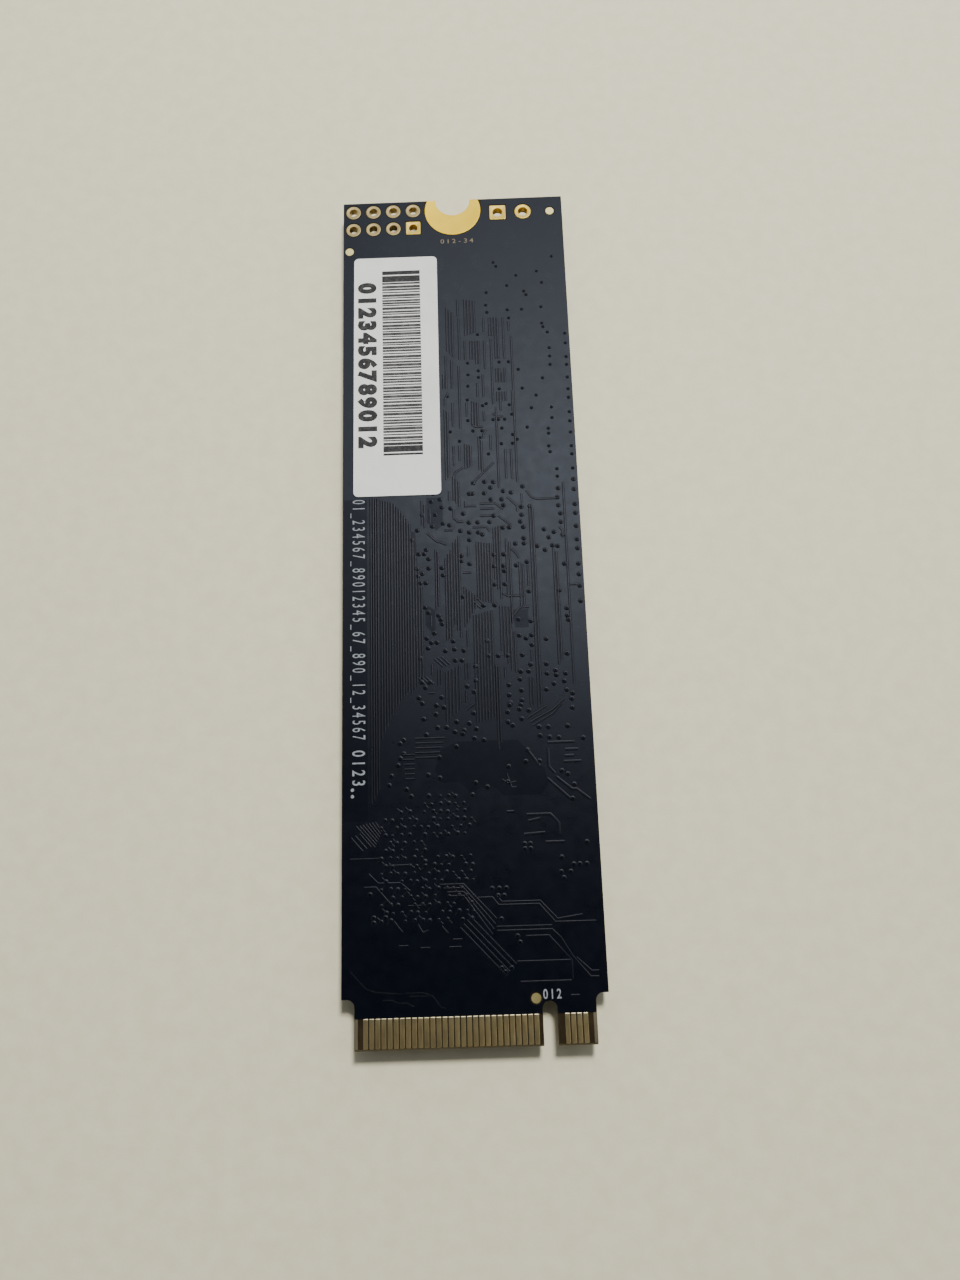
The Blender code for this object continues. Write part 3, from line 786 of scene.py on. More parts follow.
# Vias on the bare side: the places across the card at each height up it
VIA_ROWS = {
    33.1: [9.7], 32.65: [3.9], 32.2: [4.15], 31.5: [8.15], 31.1: [6.1], 30.2: [8.6], 30.0: [5.15],
    29.3: [3.1, 6.8], 28.9: [7.0], 27.9: [3.0], 27.5: [8.4], 27.3: [5.1, 6.5], 27.1: [3.1], 26.4: [5.2],
    25.7: [8.4], 25.3: [8.5], 24.7: [2.1, 8.9], 23.0: [9.0], 22.1: [9.0], 21.65: [1.05, 4.1, 5.0],
    21.2: [9.0], 20.8: [2.05, 5.9], 20.4: [1.05], 20.1: [2.05], 19.8: [8.2], 19.2: [1.0], 18.8: [4.0, 6.2],
    18.2: [-1.0], 18.0: [7.5], 17.75: [0.9], 17.3: [2.7], 17.1: [2.35, 4.9], 16.7: [7.0, 8.9], 16.1: [5.1],
    15.6: [0.9, 3.3, 3.8, 4.4, 8.9], 14.7: [4.1, 6.5], 14.5: [-0.8, 1.35, 2.2, 8.5], 14.0: [5.1, 8.5],
    13.8: [2.0], 13.5: [0.05, 5.5], 13.1: [4.0, 5.05], 12.7: [8.45], 12.1: [2.75, 8.55], 10.35: [9.1],
    9.6: [9.1], 9.2: [1.2], 8.7: [2.8, 5.8], 8.4: [9.1], 8.15: [0.8, 1.1, 2.2, 4.7], 7.5: [2.8, 3.8, 9.0],
    6.7: [6.4, 9.05], 6.2: [-3.6, -2.4, 0.2], 5.9: [3.0, 5.6, 9.2], 5.3: [-1.7, 0.7, 1.5, 2.6],
    5.05: [-2.7, 9.2], 4.7: [-4.1, 3.8, 4.4, 5.7], 4.4: [7.6], 4.1: [1.9, 8.5], 3.8: [-4.6, 9.3],
    3.6: [0.7, 5.7, 8.0], 3.1: [4.9, 5.7], 2.8: [-3.3, 6.9, 8.3], 2.4: [-4.0, -3.5, 7.6],
    2.1: [-0.1, 2.9, 3.8], 1.9: [-3.1], 1.6: [-0.1], 1.3: [0.65, 5.9],
    1.0: [-4.2, -3.1, -1.9, 2.9, 3.7, 4.9, 9.3], 0.5: [-3.7, 3.8], 0.3: [-4.1, -1.8], -0.4: [-3.9, -3.4],
    -0.75: [2.85, 3.8], -1.5: [5.95, 8.7], -1.8: [-0.1], -2.7: [1.8, 2.8, -3.5], -3.2: [-3.2, 9.3],
    -3.5: [-2.3], -3.9: [-2.1, 9.3], -4.1: [4.9], -4.3: [-2.0, 6.0, 9.4], -5.6: [-3.4, 4.9, 6.0],
    -6.0: [-3.0, -2.5, 2.0, 7.3], -6.5: [-3.3, 6.0], -7.4: [-4.0, 2.1, 2.95, 3.8, 5.1, 9.1], -7.7: [-0.9],
    -8.3: [0.9, 5.8], -8.9: [4.9, 5.6, 8.0], -9.6: [-3.9, -3.2, 0.9, 4.8], -10.1: [-3.6, 0.1, 3.8, 7.8],
    -10.6: [0.7, 4.9, 7.1], -11.0: [-4.2, -2.2, 3.8, 9.4], -11.5: [-3.9, 4.9, 9.3], -11.9: [-2.0, 3.8, 4.8],
    -12.3: [9.3], -12.5: [0.6, 3.6], -12.9: [-3.8], -13.4: [0.2, 3.6], -13.7: [-2.6, -1.8, 4.0],
    -13.9: [0.8, 8.8], -14.3: [-3.6, -0.4], -14.7: [-5.6], -15.0: [-5.9, 10.1], -15.4: [-1.0],
    -15.9: [-5.6, 5.2], -16.3: [-5.9, -2.5], -16.9: [-6.1, 5.0, 6.2], -17.3: [3.5],
    -17.8: [-6.7, -3.5, 8.1], -18.1: [-2.5, 8.6], -18.6: [-6.9, 3.4, 0.6], -19.0: [-5.4, 1.6, 9.1],
    -19.6: [-5.0, -3.5], -20.2: [8.9], -23.9: [4.6, 5.1, 9.9], -24.3: [4.6, 5.1], -25.1: [7.7, -3.9],
    -25.7: [8.7, 9.2, 9.8], -26.3: [8.4, 7.6], -26.8: [7.8], -27.5: [1.7, 2.3, 2.9], -28.1: [2.2, 2.7],
    -27.7: [-8.6], -29.6: [-8.3, -7.3], -30.0: [-8.3, 2.4], -31.4: [3.7], -31.9: [3.9], -33.9: [2.3, 3.1],
    -34.2: [2.6],
}
EDGE_VIA_X = 10.58
EDGE_VIA_TOP, EDGE_VIA_STEP, EDGE_VIA_COUNT = 24.5, 1.17, 24
EDGE_VIA_SWAY = 0.18

# Vias that show fainter: those above a height, and those under the controller
FAINT_ABOVE, FAINT_RADIUS, FAINT_DIMPLE = 9.5, 0.17, 0.08
FINE_RADIUS, FINE_DIMPLE = 0.15, 0.05

# The controller's grid of vias: rows down the card, columns across it
FINE_ROWS, FINE_ROW_STEP, FINE_TOP = 17, 0.64, -19.65
FINE_LEFT, FINE_RIGHT, FINE_COLUMN_STEP = -7.6, 1.0, 0.68


def bare_side_vias():
    """Where vias show on the bare side."""
    spots = [(x, y) for y, row in VIA_ROWS.items() for x in row]
    for index in range(EDGE_VIA_COUNT):
        y = EDGE_VIA_TOP - index * EDGE_VIA_STEP + EDGE_VIA_SWAY * math.sin(index * 2.4)
        spots.append((EDGE_VIA_X, y))
    return spots


def controller_vias():
    """The fan-out vias under the controller, in staggered rows that are thinned by a fixed rule."""
    spots = []
    for row in range(FINE_ROWS):
        y = FINE_TOP - row * FINE_ROW_STEP
        left = FINE_LEFT + 0.33 * (row % 2) + max(0, 3 - row) * 1.7
        for column in range(int((FINE_RIGHT - left) / FINE_COLUMN_STEP)):
            thinned = (row * 5 + column * 3) % 7 == 2
            under_die = row in (6, 7) and column > 5
            if thinned or under_die:
                continue
            sway = 0.08 * math.sin(row * 3.1 + column * 1.9)
            spots.append((left + column * FINE_COLUMN_STEP + sway, y + sway * 0.6))
    return spots


# Side-by-side lanes along the card: how many, and the place, top and bottom of the first and the last
Bundle = namedtuple("Bundle", "count left right top_left top_right bottom_left bottom_right")
BUNDLES = [
    (4, -8.4, -7.75, 8.0, 8.0, -20.2, -19.0),
    (5, -7.45, -6.5, 7.8, 7.5, -14.5, -12.4),
    (6, -6.22, -5.05, 7.4, 5.9, -11.8, -10.4),
    (5, -4.8, -3.8, 5.4, -0.8, -10.6, -9.4),
    (2, -3.65, -3.4, 7.6, 7.2, 5.2, 4.9),
    (2, -2.45, -2.25, 2.8, 2.5, -3.0, -2.7),
    (3, -1.55, -1.05, 1.9, 2.7, -5.9, -5.5),
    (3, -0.78, -0.3, 3.4, 4.0, -4.4, -5.6),
    (3, -0.65, -0.15, 10.0, 9.4, 7.5, 6.9),
    (5, 0.12, 1.1, -0.9, -1.7, -4.7, -3.0),
    (6, 1.35, 2.6, 3.4, 3.2, -2.2, -2.5),
    (3, 2.95, 3.45, 4.7, 4.9, -0.3, -2.2),
    (7, 0.9, 2.5, -3.6, -3.2, -13.4, -13.0),
    (2, 2.72, 2.95, -8.2, -8.4, -15.8, -15.2),
    (4, 3.3, 4.15, -2.8, -2.9, -7.0, -8.8),
    (2, 4.05, 4.35, 3.6, 3.3, -2.0, -4.4),
    (2, 5.2, 5.5, 1.3, 1.1, -3.0, -2.8),
    (2, 4.2, 4.5, -5.0, -5.2, -8.6, -9.0),
    (2, 6.35, 6.62, 6.9, 6.6, -12.3, -12.0),
    (2, 8.35, 8.62, 2.6, 2.2, -8.4, -8.0),
    (5, -1.75, -0.55, -8.8, -8.2, -13.2, -12.2),
    (4, 0.9, 1.8, 28.6, 28.4, 24.6, 24.9),
    (3, -0.9, -0.35, 27.8, 27.2, 23.0, 22.4),
    (2, -1.3, -1.05, 16.8, 16.6, 9.6, 9.8),
    (3, 1.35, 1.85, 17.6, 17.4, 15.0, 14.9),
    (3, 0.55, 1.05, 13.2, 13.0, 10.6, 10.9),
    (2, 1.85, 2.1, 13.9, 13.5, 10.5, 10.3),
    (2, 3.35, 3.6, 24.2, 16.9, 17.2, 8.6),
]


def bundle_paths():
    """The paths of every bundle of lanes."""
    paths = []
    for row in BUNDLES:
        bundle = Bundle(*row)
        for index in range(bundle.count):
            share = index / (bundle.count - 1)
            x = bundle.left + (bundle.right - bundle.left) * share
            top = bundle.top_left + (bundle.top_right - bundle.top_left) * share
            bottom = bundle.bottom_left + (bundle.bottom_right - bundle.bottom_left) * share
            paths.append([(x, top), (x, bottom)])
    return paths


def comb_paths():
    """Ladders of short level tracks where the lanes turn in to the controller."""
    paths = []
    for index in range(5):
        y = -14.6 - index * 0.42
        paths.append([(-4.6, y), (-1.95 - 0.16 * index, y)])
    for index in range(6):
        y = -16.0 - index * 0.42
        paths.append([(-5.75 + 0.06 * index, y), (-4.65, y)])
    for index in range(3):
        shift = index * 0.32
        paths.append([(-2.75 + shift, -7.5 + shift * 0.3), (-2.0 + shift, -8.25 + shift * 0.3)])
        paths.append([(-4.2 + shift, -9.2 + shift * 0.2), (-3.5 + shift, -9.9 + shift * 0.2)])
    for index in range(3):
        shift = index * 0.36
        paths.append([(-10.2 + shift, -22.95 + shift * 0.45), (-9.2 + shift, -24.1 + shift * 0.45)])
    for index in range(7):
        shift = index * 0.27
        paths.append([(-9.75 + shift, -22.0 + shift * 0.2), (-8.15 + shift * 0.35, -23.8 + shift * 0.8)])
    return paths


SINGLE_PATHS = [
    # long lanes and jogs of the upper half
    [(5.33, 24.4), (5.33, 9.2)],
    [(9.58, 9.0), (9.58, -10.2)],
    [(3.2, 11.2), (1.45, 9.5), (1.2, 9.0)],
    [(0.3, 10.8), (-0.45, 10.3), (-0.55, 9.8)],
    [(0.2, 28.6), (0.2, 26.8)],
    [(0.15, 21.4), (0.15, 14.8)],
    [(-0.9, 18.6), (-1.25, 17.9), (-1.25, 17.2)],
    [(2.45, 20.4), (2.45, 18.0)],
    [(1.3, 16.4), (1.3, 15.2), (1.6, 14.9), (2.3, 14.9)],
    [(2.6, 14.6), (2.3, 14.1), (2.3, 13.7)],
    [(3.3, 16.3), (3.5, 16.0)],
    [(3.5, 15.9), (4.3, 15.9)],
    [(5.2, 18.6), (5.2, 16.4)],
    # jogs between the memory fan-outs
    [(6.1, 8.3), (6.6, 7.6), (7.0, 7.4), (9.0, 7.4)],
    [(1.75, 7.1), (3.2, 7.1), (3.9, 6.5)],
    [(1.75, 6.6), (3.1, 6.6)],
    [(1.7, 5.9), (2.8, 5.9)],
    [(0.4, 7.4), (0.4, 6.9), (1.4, 6.9)],
    [(-0.7, 6.6), (-0.7, 5.8), (-0.3, 5.4), (0.2, 5.4)],
    [(4.3, 7.7), (5.2, 6.8), (5.2, 6.2)],
    [(3.4, 5.9), (4.6, 4.9)],
    [(1.0, 4.8), (2.3, 4.8), (2.6, 4.4)],
    [(-2.9, 6.8), (-2.9, 5.4)],
    [(-1.6, 4.6), (-0.8, 4.6)],
    [(-3.2, 4.4), (-2.4, 3.6), (-1.4, 3.2)],
    [(4.5, 2.6), (4.9, 2.2), (5.2, 1.7)],
    [(0.0, 0.45), (0.8, 0.45)],
    [(3.55, -1.6), (4.0, -1.9), (5.6, -1.9)],
    [(4.4, -3.8), (5.1, -3.0), (5.9, -3.0)],
    [(0.9, -2.3), (1.6, -3.0)],
    [(1.2, -2.0), (1.9, -2.7)],
    [(9.7, -1.0), (10.7, -1.0)],
    [(9.0, 4.6), (9.3, 4.2), (9.3, 3.5)],
    [(8.6, -11.5), (7.6, -12.4), (5.5, -13.5)],
    [(8.4, -11.9), (7.5, -12.8), (5.7, -13.8)],
    [(7.0, -12.1), (5.3, -13.1)],
    [(0.0, -12.2), (0.7, -11.7)],
    [(-3.4, -10.6), (-2.8, -10.6)],
    # beside and below the controller
    [(-10.3, -24.75), (-7.6, -24.75)],
    [(-7.0, -25.35), (-5.2, -25.35), (-4.8, -25.6)],
    [(-8.7, -26.0), (-7.9, -26.8), (-6.0, -26.8), (-5.2, -27.5)],
    [(-9.1, -27.1), (-8.1, -27.1), (-6.7, -28.7)],
    [(-6.6, -29.9), (-5.9, -30.8)],
    [(-4.6, -30.2), (-4.2, -30.9), (-3.7, -30.7)],
    [(-2.6, -30.4), (-2.1, -31.0)],
    [(-1.7, -31.5), (-0.9, -31.5)],
    [(-2.0, -32.1), (-1.0, -32.1)],
    [(-4.4, -32.1), (-3.6, -32.1)],
    [(-6.2, -31.9), (-5.4, -31.9)],
    [(-5.4, -28.7), (-3.9, -28.7)],
    [(2.9, -18.4), (3.4, -18.75), (4.1, -18.6)],
    [(3.3, -17.9), (3.7, -19.1), (4.1, -19.1)],
    # stepped lines near the edge contacts
    [(0.5, -28.2), (1.7, -28.2), (2.2, -28.85), (5.6, -28.85), (6.9, -30.35), (10.3, -30.35)],
    [(2.0, -28.05), (2.5, -28.6), (5.7, -28.6), (7.1, -30.1), (9.2, -29.8)],
    [(2.0, -30.6), (6.6, -30.6)],
    [(2.0, -30.92), (6.6, -30.92), (7.3, -31.6), (8.2, -33.1), (9.6, -34.75), (10.3, -34.75)],
    [(8.5, -33.2), (9.7, -34.3), (10.3, -34.3)],
    [(4.4, -31.4), (6.3, -31.4), (8.1, -33.4), (8.1, -34.9)],
    [(3.6, -33.4), (8.0, -33.4)],
    [(3.8, -35.0), (8.0, -35.0)],
    [(7.9, -36.15), (8.6, -36.15)],
]
FAINT_PATHS = [
    [(-10.3, -33.8), (-9.0, -35.2), (-8.2, -35.5), (-6.0, -35.7)],
    [(-7.6, -36.15), (-6.8, -36.15), (-6.3, -36.4), (-5.6, -36.4), (-5.0, -36.7)],
    [(-5.7, -35.65), (-4.2, -35.65), (-3.5, -35.9), (-2.8, -36.8), (-2.4, -36.9)],
    [(-5.4, -35.9), (-3.6, -35.9)],
]
POWER_PATHS = [
    [(7.0, -15.3), (9.3, -15.3)],
    [(8.5, -15.95), (9.6, -15.95)],
    [(8.3, -17.0), (9.8, -17.0)],
    [(8.4, -16.5), (9.2, -16.5)],
    [(7.0, -15.8), (7.0, -17.4), (7.5, -18.0)],
    [(5.2, -15.9), (6.2, -17.3)],
    [(6.8, -18.4), (8.7, -20.2)],
    [(7.6, -18.3), (8.9, -19.4), (9.3, -19.4), (10.4, -20.3)],
    [(3.2, -21.15), (3.8, -21.15)],
    [(4.9, -21.45), (6.9, -21.45), (7.6, -22.2), (7.6, -23.2)],
    [(4.6, -23.1), (6.4, -23.0)],
    [(6.4, -23.8), (8.0, -23.8)],
    [(5.0, -22.0), (6.0, -21.8)],
]
DATA_LINE_COUNT, DATA_LINE_STEP = 4, 0.32
FAN_OUT, FAN_OUT_WIDTH, POWER_WIDTH = 0.36, 0.08, 0.2


def fan_out_paths():
    """The short slanting tracks from the controller's vias to its pads, every third one left out."""
    paths = []
    for index, (x, y) in enumerate(controller_vias()):
        if index % 3:
            across = FAN_OUT * (1 if index % 4 < 2 else -1)
            along = FAN_OUT * (1 if index % 5 < 3 else -1)
            paths.append([(x + across * 0.4, y + along * 0.4), (x + across, y + along)])
    return paths


def data_paths():
    """The slanting bundles of data lines that run from the controller to the edge contacts."""
    paths = []
    for index in range(DATA_LINE_COUNT):
        shift = index * DATA_LINE_STEP
        y = -27.05 - shift
        paths.append([(-2.7 + shift, y), (-0.7, y), (2.0 - shift * 0.4, -29.95 - shift * 1.3)])
        paths.append([(-0.2 - shift * 0.9, -29.7 - shift * 0.9), (3.5 - shift * 0.9, -33.6 - shift * 0.9)])
    return paths


# Areas with no copper under the mask, as outlines
CLEARINGS = [
    [(-10.9, 7.9), (-8.75, 7.9), (-8.75, -21.6), (-10.9, -21.6)],
    [(-3.2, 7.9), (-1.7, 7.9), (-1.7, 5.2), (-2.3, 4.6), (-3.2, 5.4)],
    [(-2.4, -15.7), (-1.0, -15.0), (4.4, -15.0), (5.2, -15.9), (6.6, -17.6), (6.9, -19.0), (6.2, -19.8),
     (3.0, -19.8), (2.2, -19.0), (1.0, -19.0), (0.2, -19.5), (-0.8, -18.5), (-2.4, -18.5), (-2.9, -17.4)],
    [(4.3, -3.2), (5.8, -3.2), (5.8, -4.9), (4.6, -4.9)],
    [(-3.5, -2.4), (-2.6, -3.0), (-2.6, -5.4), (-3.5, -4.4)],
    [(-4.9, 4.6), (-4.3, 4.6), (-4.0, -1.2), (-4.5, -2.4), (-4.9, -2.0)],
]

# Filler for the room that the paths above leave, on a grid of cells. Each field of lanes is (left, right,
# top, bottom, rows in a lane). Filler vias lie on the memory packages' grid, but for a bare patch.
LANE_PITCH, LANE_STEP = 0.27, 0.5
LANE_FIELDS = [(-1.35, 5.3, 26.5, 9.0, 11), (-3.0, 6.2, 8.9, -13.8, 6)]
FILLER_ROWS, FILLER_COLUMNS = 31, 17
FILLER_CORNER, FILLER_STEP = (-4.3, 9.2), (0.82, 0.8)


def cell_of(x, y):
    """The grid cell of a spot."""
    return round(x / LANE_PITCH), round(y / LANE_STEP)


def is_free(cell, taken):
    """Whether a cell and those on its left and right are free."""
    return not any((cell[0] + side, cell[1]) in taken for side in (-1, 0, 1))


def cells_along(path):
    """The grid cells that a path runs through."""
    cells = set()
    for (x0, y0), (x1, y1) in zip(path, path[1:]):
        steps = int(max(abs(x1 - x0), abs(y1 - y0)) / 0.12) + 1
        for step in range(steps + 1):
            share = step / steps
            cells.add(cell_of(x0 + (x1 - x0) * share, y0 + (y1 - y0) * share))
    return cells


def cells_across(spots):
    """The grid cells that vias at some spots cover."""
    return set().union(*[cells_along([(x - 0.2, y), (x + 0.2, y)]) for x, y in spots])


def filler_paths(taken):
    """Short lanes in the room the others leave, broken up by a fixed rule."""
    paths = []
    for left, right, top, bottom, rows in LANE_FIELDS:
        for column in range(math.ceil(left / LANE_PITCH), int(right / LANE_PITCH) + 1):
            start = None
            for row in range(int(top / LANE_STEP), int(bottom / LANE_STEP) - 1, -1):
                stagger = int(3 * math.sin(column * 2.1))
                broken = (column * 5 + (row + stagger) // rows * 3) % 7 in (1, 4)
                if is_free((column, row), taken) and not broken and row * LANE_STEP > bottom:
                    start = row if start is None else start
                elif start is not None:
                    if start - row > 2:
                        x = column * LANE_PITCH
                        paths.append([(x, start * LANE_STEP), (x, (row + 1) * LANE_STEP)])
                    start = None
    return paths


def filler_vias(taken):
    """Vias on the memory packages' grid where nothing else is, thinned by a fixed rule."""
    spots = []
    for row in range(FILLER_ROWS):
        for column in range(FILLER_COLUMNS):
            x = FILLER_CORNER[0] + column * FILLER_STEP[0] + 0.1 * math.sin(row * 2.3)
            y = FILLER_CORNER[1] - row * FILLER_STEP[1] + 0.12 * math.sin(column * 1.7 + row)
            kept = (row * 3 + column * 5) % 8 in (0, 3, 5)
            bare = 6.6 < x < 8.2 and y > -6
            if kept and not bare and is_free(cell_of(x, y), taken):
                spots.append((x, y))
    return spots


# Where no via shows, as (left, right, bottom, top): under the label and under the white print
KEPT_CLEAR = [(-10.3, -1.5, 8.0, 33.8), (-11.0, -8.6, -19.8, 8.0)]


def clear_of_print(x, y):
    """Whether a spot on the bare side is off the label and the white print."""
    return not any(left < x < right and bottom < y < top for left, right, bottom, top in KEPT_CLEAR)


def make_bare_relief(looks):
    """Tracks, the gaps round them and vias under the bare side's mask."""
    relief, clearings = Relief(BARE), Shape()
    laid = bundle_paths() + comb_paths() + SINGLE_PATHS + data_paths()
    taken = set().union(*[cells_along(path) for path in laid])
    spots = [spot for spot in bare_side_vias() if clear_of_print(*spot)]
    taken |= cells_across(spots)
    spots += filler_vias(taken)
    taken |= cells_across(spots)
    for path in laid + filler_paths(taken):
        relief.add_track(path)
    for path in fan_out_paths():
        relief.add_track(path, width=FAN_OUT_WIDTH)
    for path in POWER_PATHS:
        relief.add_track(path, width=POWER_WIDTH)
    for path in FAINT_PATHS:
        relief.add_track(path, height=TRACK_HEIGHT * 0.45)
    for x, y in spots:
        radius, inner = (FAINT_RADIUS, FAINT_DIMPLE) if y > FAINT_ABOVE else (VIA_RADIUS, DIMPLE_RADIUS)
        relief.add_via(x, y, radius, inner)
    for outline in CLEARINGS:
        clearings.skin([raised(outline, BARE.level - SINK), raised(outline, BARE.level + GAP_HEIGHT / 2)])
    write_piece("clearings_bare_side", clearings, looks["mask_on_laminate"])
    for index, (x, y) in enumerate(controller_vias()):
        relief.add_via(x, y, FINE_RADIUS + 0.02 * (index % 4), FINE_DIMPLE)
    relief.write("bare_side", looks)


# ------------------------------------------------------------ chip side


MEMORY_COUNT = 4
SUBSTRATE_THICKNESS = 0.2
PIN_DOT_INSET, PIN_DOT_RADIUS = 0.9, 0.3
BallGrid = namedtuple("BallGrid", "columns rows pitch radius skipped")
MEMORY_BALLS = BallGrid(12, 11, 1.0, 0.22, ())
CONTROLLER_BALLS = BallGrid(17, 17, 0.65, 0.16, ((0, 16),))
BALL_STEPS = 8
FILLET_REACH = 0.22
LEAD_PITCH = 0.5
LEAD_WIDTH, LEAD_LENGTH = 0.24, 0.3


def memory_nodes():
    """The memory packages' CAD nodes."""
    return [f"flash_memory_{index + 1}" for index in range(MEMORY_COUNT)]


def node_centre(node):
    """A CAD node's middle across and along the card, its size and its heights, in millimetres."""
    low, high = (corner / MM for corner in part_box(node))
    return ((low.x + high.x) / 2, (low.y + high.y) / 2), high.x - low.x, high.y - low.y, low.z, high.z


def make_packages(looks):
    """The memory and controller packages: a moulded cap on a thin substrate."""
    for node in [*memory_nodes(), "controller"]:
        centre, width, length, low, high = node_centre(node)
        joint = high - SUBSTRATE_THICKNESS
        cap, base = Shape(), Shape()
        add_block(cap, centre, width - 0.02, length - 0.02, joint, low, 0.12, 0.03, draft=0.03)
        add_block(base, centre, width, length, joint, high, 0.08, 0.01)
        write_piece(f"{node}_cap", cap, looks["mould"], [node])
        write_piece(f"{node}_substrate", base, looks["substrate"])


def add_ball(shape, x, y, low, high, radius):
    """A solder ball squeezed between two faces."""
    rings = []
    middle, half = (low + high) / 2, (high - low) / 2
    for share, rise in [(0.72, -1.0), (0.93, -0.55), (1.0, 0.0), (0.93, 0.55), (0.72, 1.0)]:
        rings.append(raised(arc((x, y), radius * share, 0, 360, BALL_STEPS)[:-1], middle + half * rise))
    shape.skin(rings)


def make_ball_grid(package, grid, looks):
    """A package's solder balls in place of its CAD slab."""
    centre, _, _, _, high = node_centre(package)
    shape = Shape()
    for column in range(grid.columns):
        for row in range(grid.rows):
            if (column, row) in grid.skipped:
                continue
            x = centre[0] + (column - (grid.columns - 1) / 2) * grid.pitch
            y = centre[1] + (row - (grid.rows - 1) / 2) * grid.pitch
            add_ball(shape, x, y, high - 0.004, CHIP.level + 0.004, grid.radius)
    node = f"{package}_solder_balls"
    write_piece(f"{package}_balls", shape, looks["solder"], [node])


def make_laser_marks(looks):
    """A first-pin dot on each package, and faint counting digits on the memory."""
    shape = Shape()
    for node in [*memory_nodes(), "controller"]:
        centre, width, length, low, _ = node_centre(node)
        corner = (centre[0] - width / 2 + PIN_DOT_INSET, centre[1] + length / 2 - PIN_DOT_INSET)
        rise = 0.002 if node == "controller" else 0.001
        add_disc(shape, corner, PIN_DOT_RADIUS, low + 0.001, low - rise)
        if node != "controller":
            add_marks(shape, "0123456789", (centre[0] + 4.5, centre[1]), (-1.0, 0), 1.2, 0.7, low + 0.001,
                      way=-1, thickness=0.002)
    write_piece("laser_marks", shape, looks["laser_mark"])


def passive_nodes(prefix):
    """The CAD nodes whose names start with a prefix."""
    return sorted(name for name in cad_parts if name.startswith(prefix))


def make_passives(looks):
    """Capacitors and resistors: bodies, tinned ends and solder fillets."""
    ends, fillets = Shape(), Shape()
    families = [
        ("bulk_capacitor", "capacitor", "capacitor_ceramic"),
        ("coupling_capacitor", "capacitor", "capacitor_ceramic"),
        ("resistor", "resistor", "resistor_body"),
    ]
    for prefix, look, slot in families:
        bodies = Shape()
        nodes = passive_nodes(prefix)
        for node in nodes:
            centre, width, length, low, high = node_centre(node)
            end = length * 0.22
            add_block(bodies, centre, width - 0.04, length - 0.08, high - 0.03, low + 0.02, 0.04, 0.02)
            for way in (-1, 1):
                middle = (centre[0], centre[1] + way * (length - end) / 2)
                add_block(ends, middle, width, end, high, low, 0.06, 0.04)
                add_fillet(fillets, middle, width, way, end, high, low)
        write_piece(f"{prefix}_bodies", bodies, looks[look], nodes)
    write_piece("tinned_ends", ends, looks["tin"])
    write_piece("solder_fillets", fillets, looks["solder"])


def add_fillet(shape, middle, width, way, end, high, low):
    """Solder that climbs the end of a part from its pad, hollow like a real fillet."""
    foot = middle[1] + way * end / 2
    tall = (high - low) * 0.6
    rings = []
    for share in (0.0, 0.25, 0.5, 0.75, 1.0):
        y = foot + way * FILLET_REACH * share
        top = CHIP.level - 0.012 - tall * (1 - share) ** 2
        half = width / 2 + 0.04 - 0.05 * share
        rings.append([
            (middle[0] - half, y, CHIP.level + 0.005),
            (middle[0] - half * 0.8, y, top),
            (middle[0] + half * 0.8, y, top),
            (middle[0] + half, y, CHIP.level + 0.005),
        ])
    shape.skin(rings)


def make_power_parts(looks):
    """The regulator, load switch, inductors and crystal."""
    pads = Shape()
    for node in ("power_regulator", "load_switch"):
        centre, width, length, low, high = node_centre(node)
        body = Shape()
        add_block(body, centre, width, length, high - 0.02, low, 0.05, 0.03)
        write_piece(f"{node}_body", body, looks["mould"], [node])
        count = int(width / LEAD_PITCH) - 1
        for index in range(count):
            along = (index - (count - 1) / 2) * LEAD_PITCH
            for way in (-1, 1):
                level_end = (centre[0] + along, centre[1] + way * length / 2)
                add_lead(pads, level_end, LEAD_WIDTH, LEAD_LENGTH, high)
                upright_end = (centre[0] + way * width / 2, centre[1] + along)
                add_lead(pads, upright_end, LEAD_LENGTH, LEAD_WIDTH, high)
    for node in passive_nodes("inductor"):
        centre, width, length, low, high = node_centre(node)
        body = Shape()
        add_block(body, centre, width, length, high - 0.02, low, 0.2, 0.07)
        write_piece(f"{node}_body", body, looks["ferrite"], [node])
        for way in (-1, 1):
            along_x = width >= length
            x = centre[0] + (way * width / 2 if along_x else 0)
            y = centre[1] + (0 if along_x else way * length / 2)
            wide, deep = (LEAD_LENGTH, length * 0.8) if along_x else (width * 0.8, LEAD_LENGTH)
            add_lead(pads, (x, y), wide, deep, high)
    write_piece("power_part_leads", pads, looks["solder"])
    centre, width, length, low, high = node_centre("crystal")
    base, lid = Shape(), Shape()
    add_block(base, centre, width, length, high, low + 0.25, 0.12, 0.02)
    add_block(lid, centre, width - 0.3, length - 0.3, low + 0.26, low, 0.2, 0.06)
    write_piece("crystal_base", base, looks["crystal_base"])
    write_piece("crystal_lid", lid, looks["lid"], ["crystal"])


def add_lead(shape, centre, width, length, high):
    """A low solder joint on a pad at a part's edge."""
    add_block(shape, centre, width, length, CHIP.level + 0.004, high - 0.1, 0.05, 0.03)


# Chip side relief: lanes and vias beside each memory package, and the lines to the edge contacts
SIDE_LANE_COUNT, SIDE_LANE_X, SIDE_LANE_STEP = 5, 9.35, 0.27
SIDE_VIA_COUNT, SIDE_VIA_X, SIDE_VIA_STEP = 9, 10.65, 1.4
END_VIA_COUNT, END_VIA_X, END_VIA_STEP = 14, -8.4, 1.3
EDGE_LINE_COUNT, EDGE_LINE_X, EDGE_LINE_STEP = 10, -7.6, 1.0


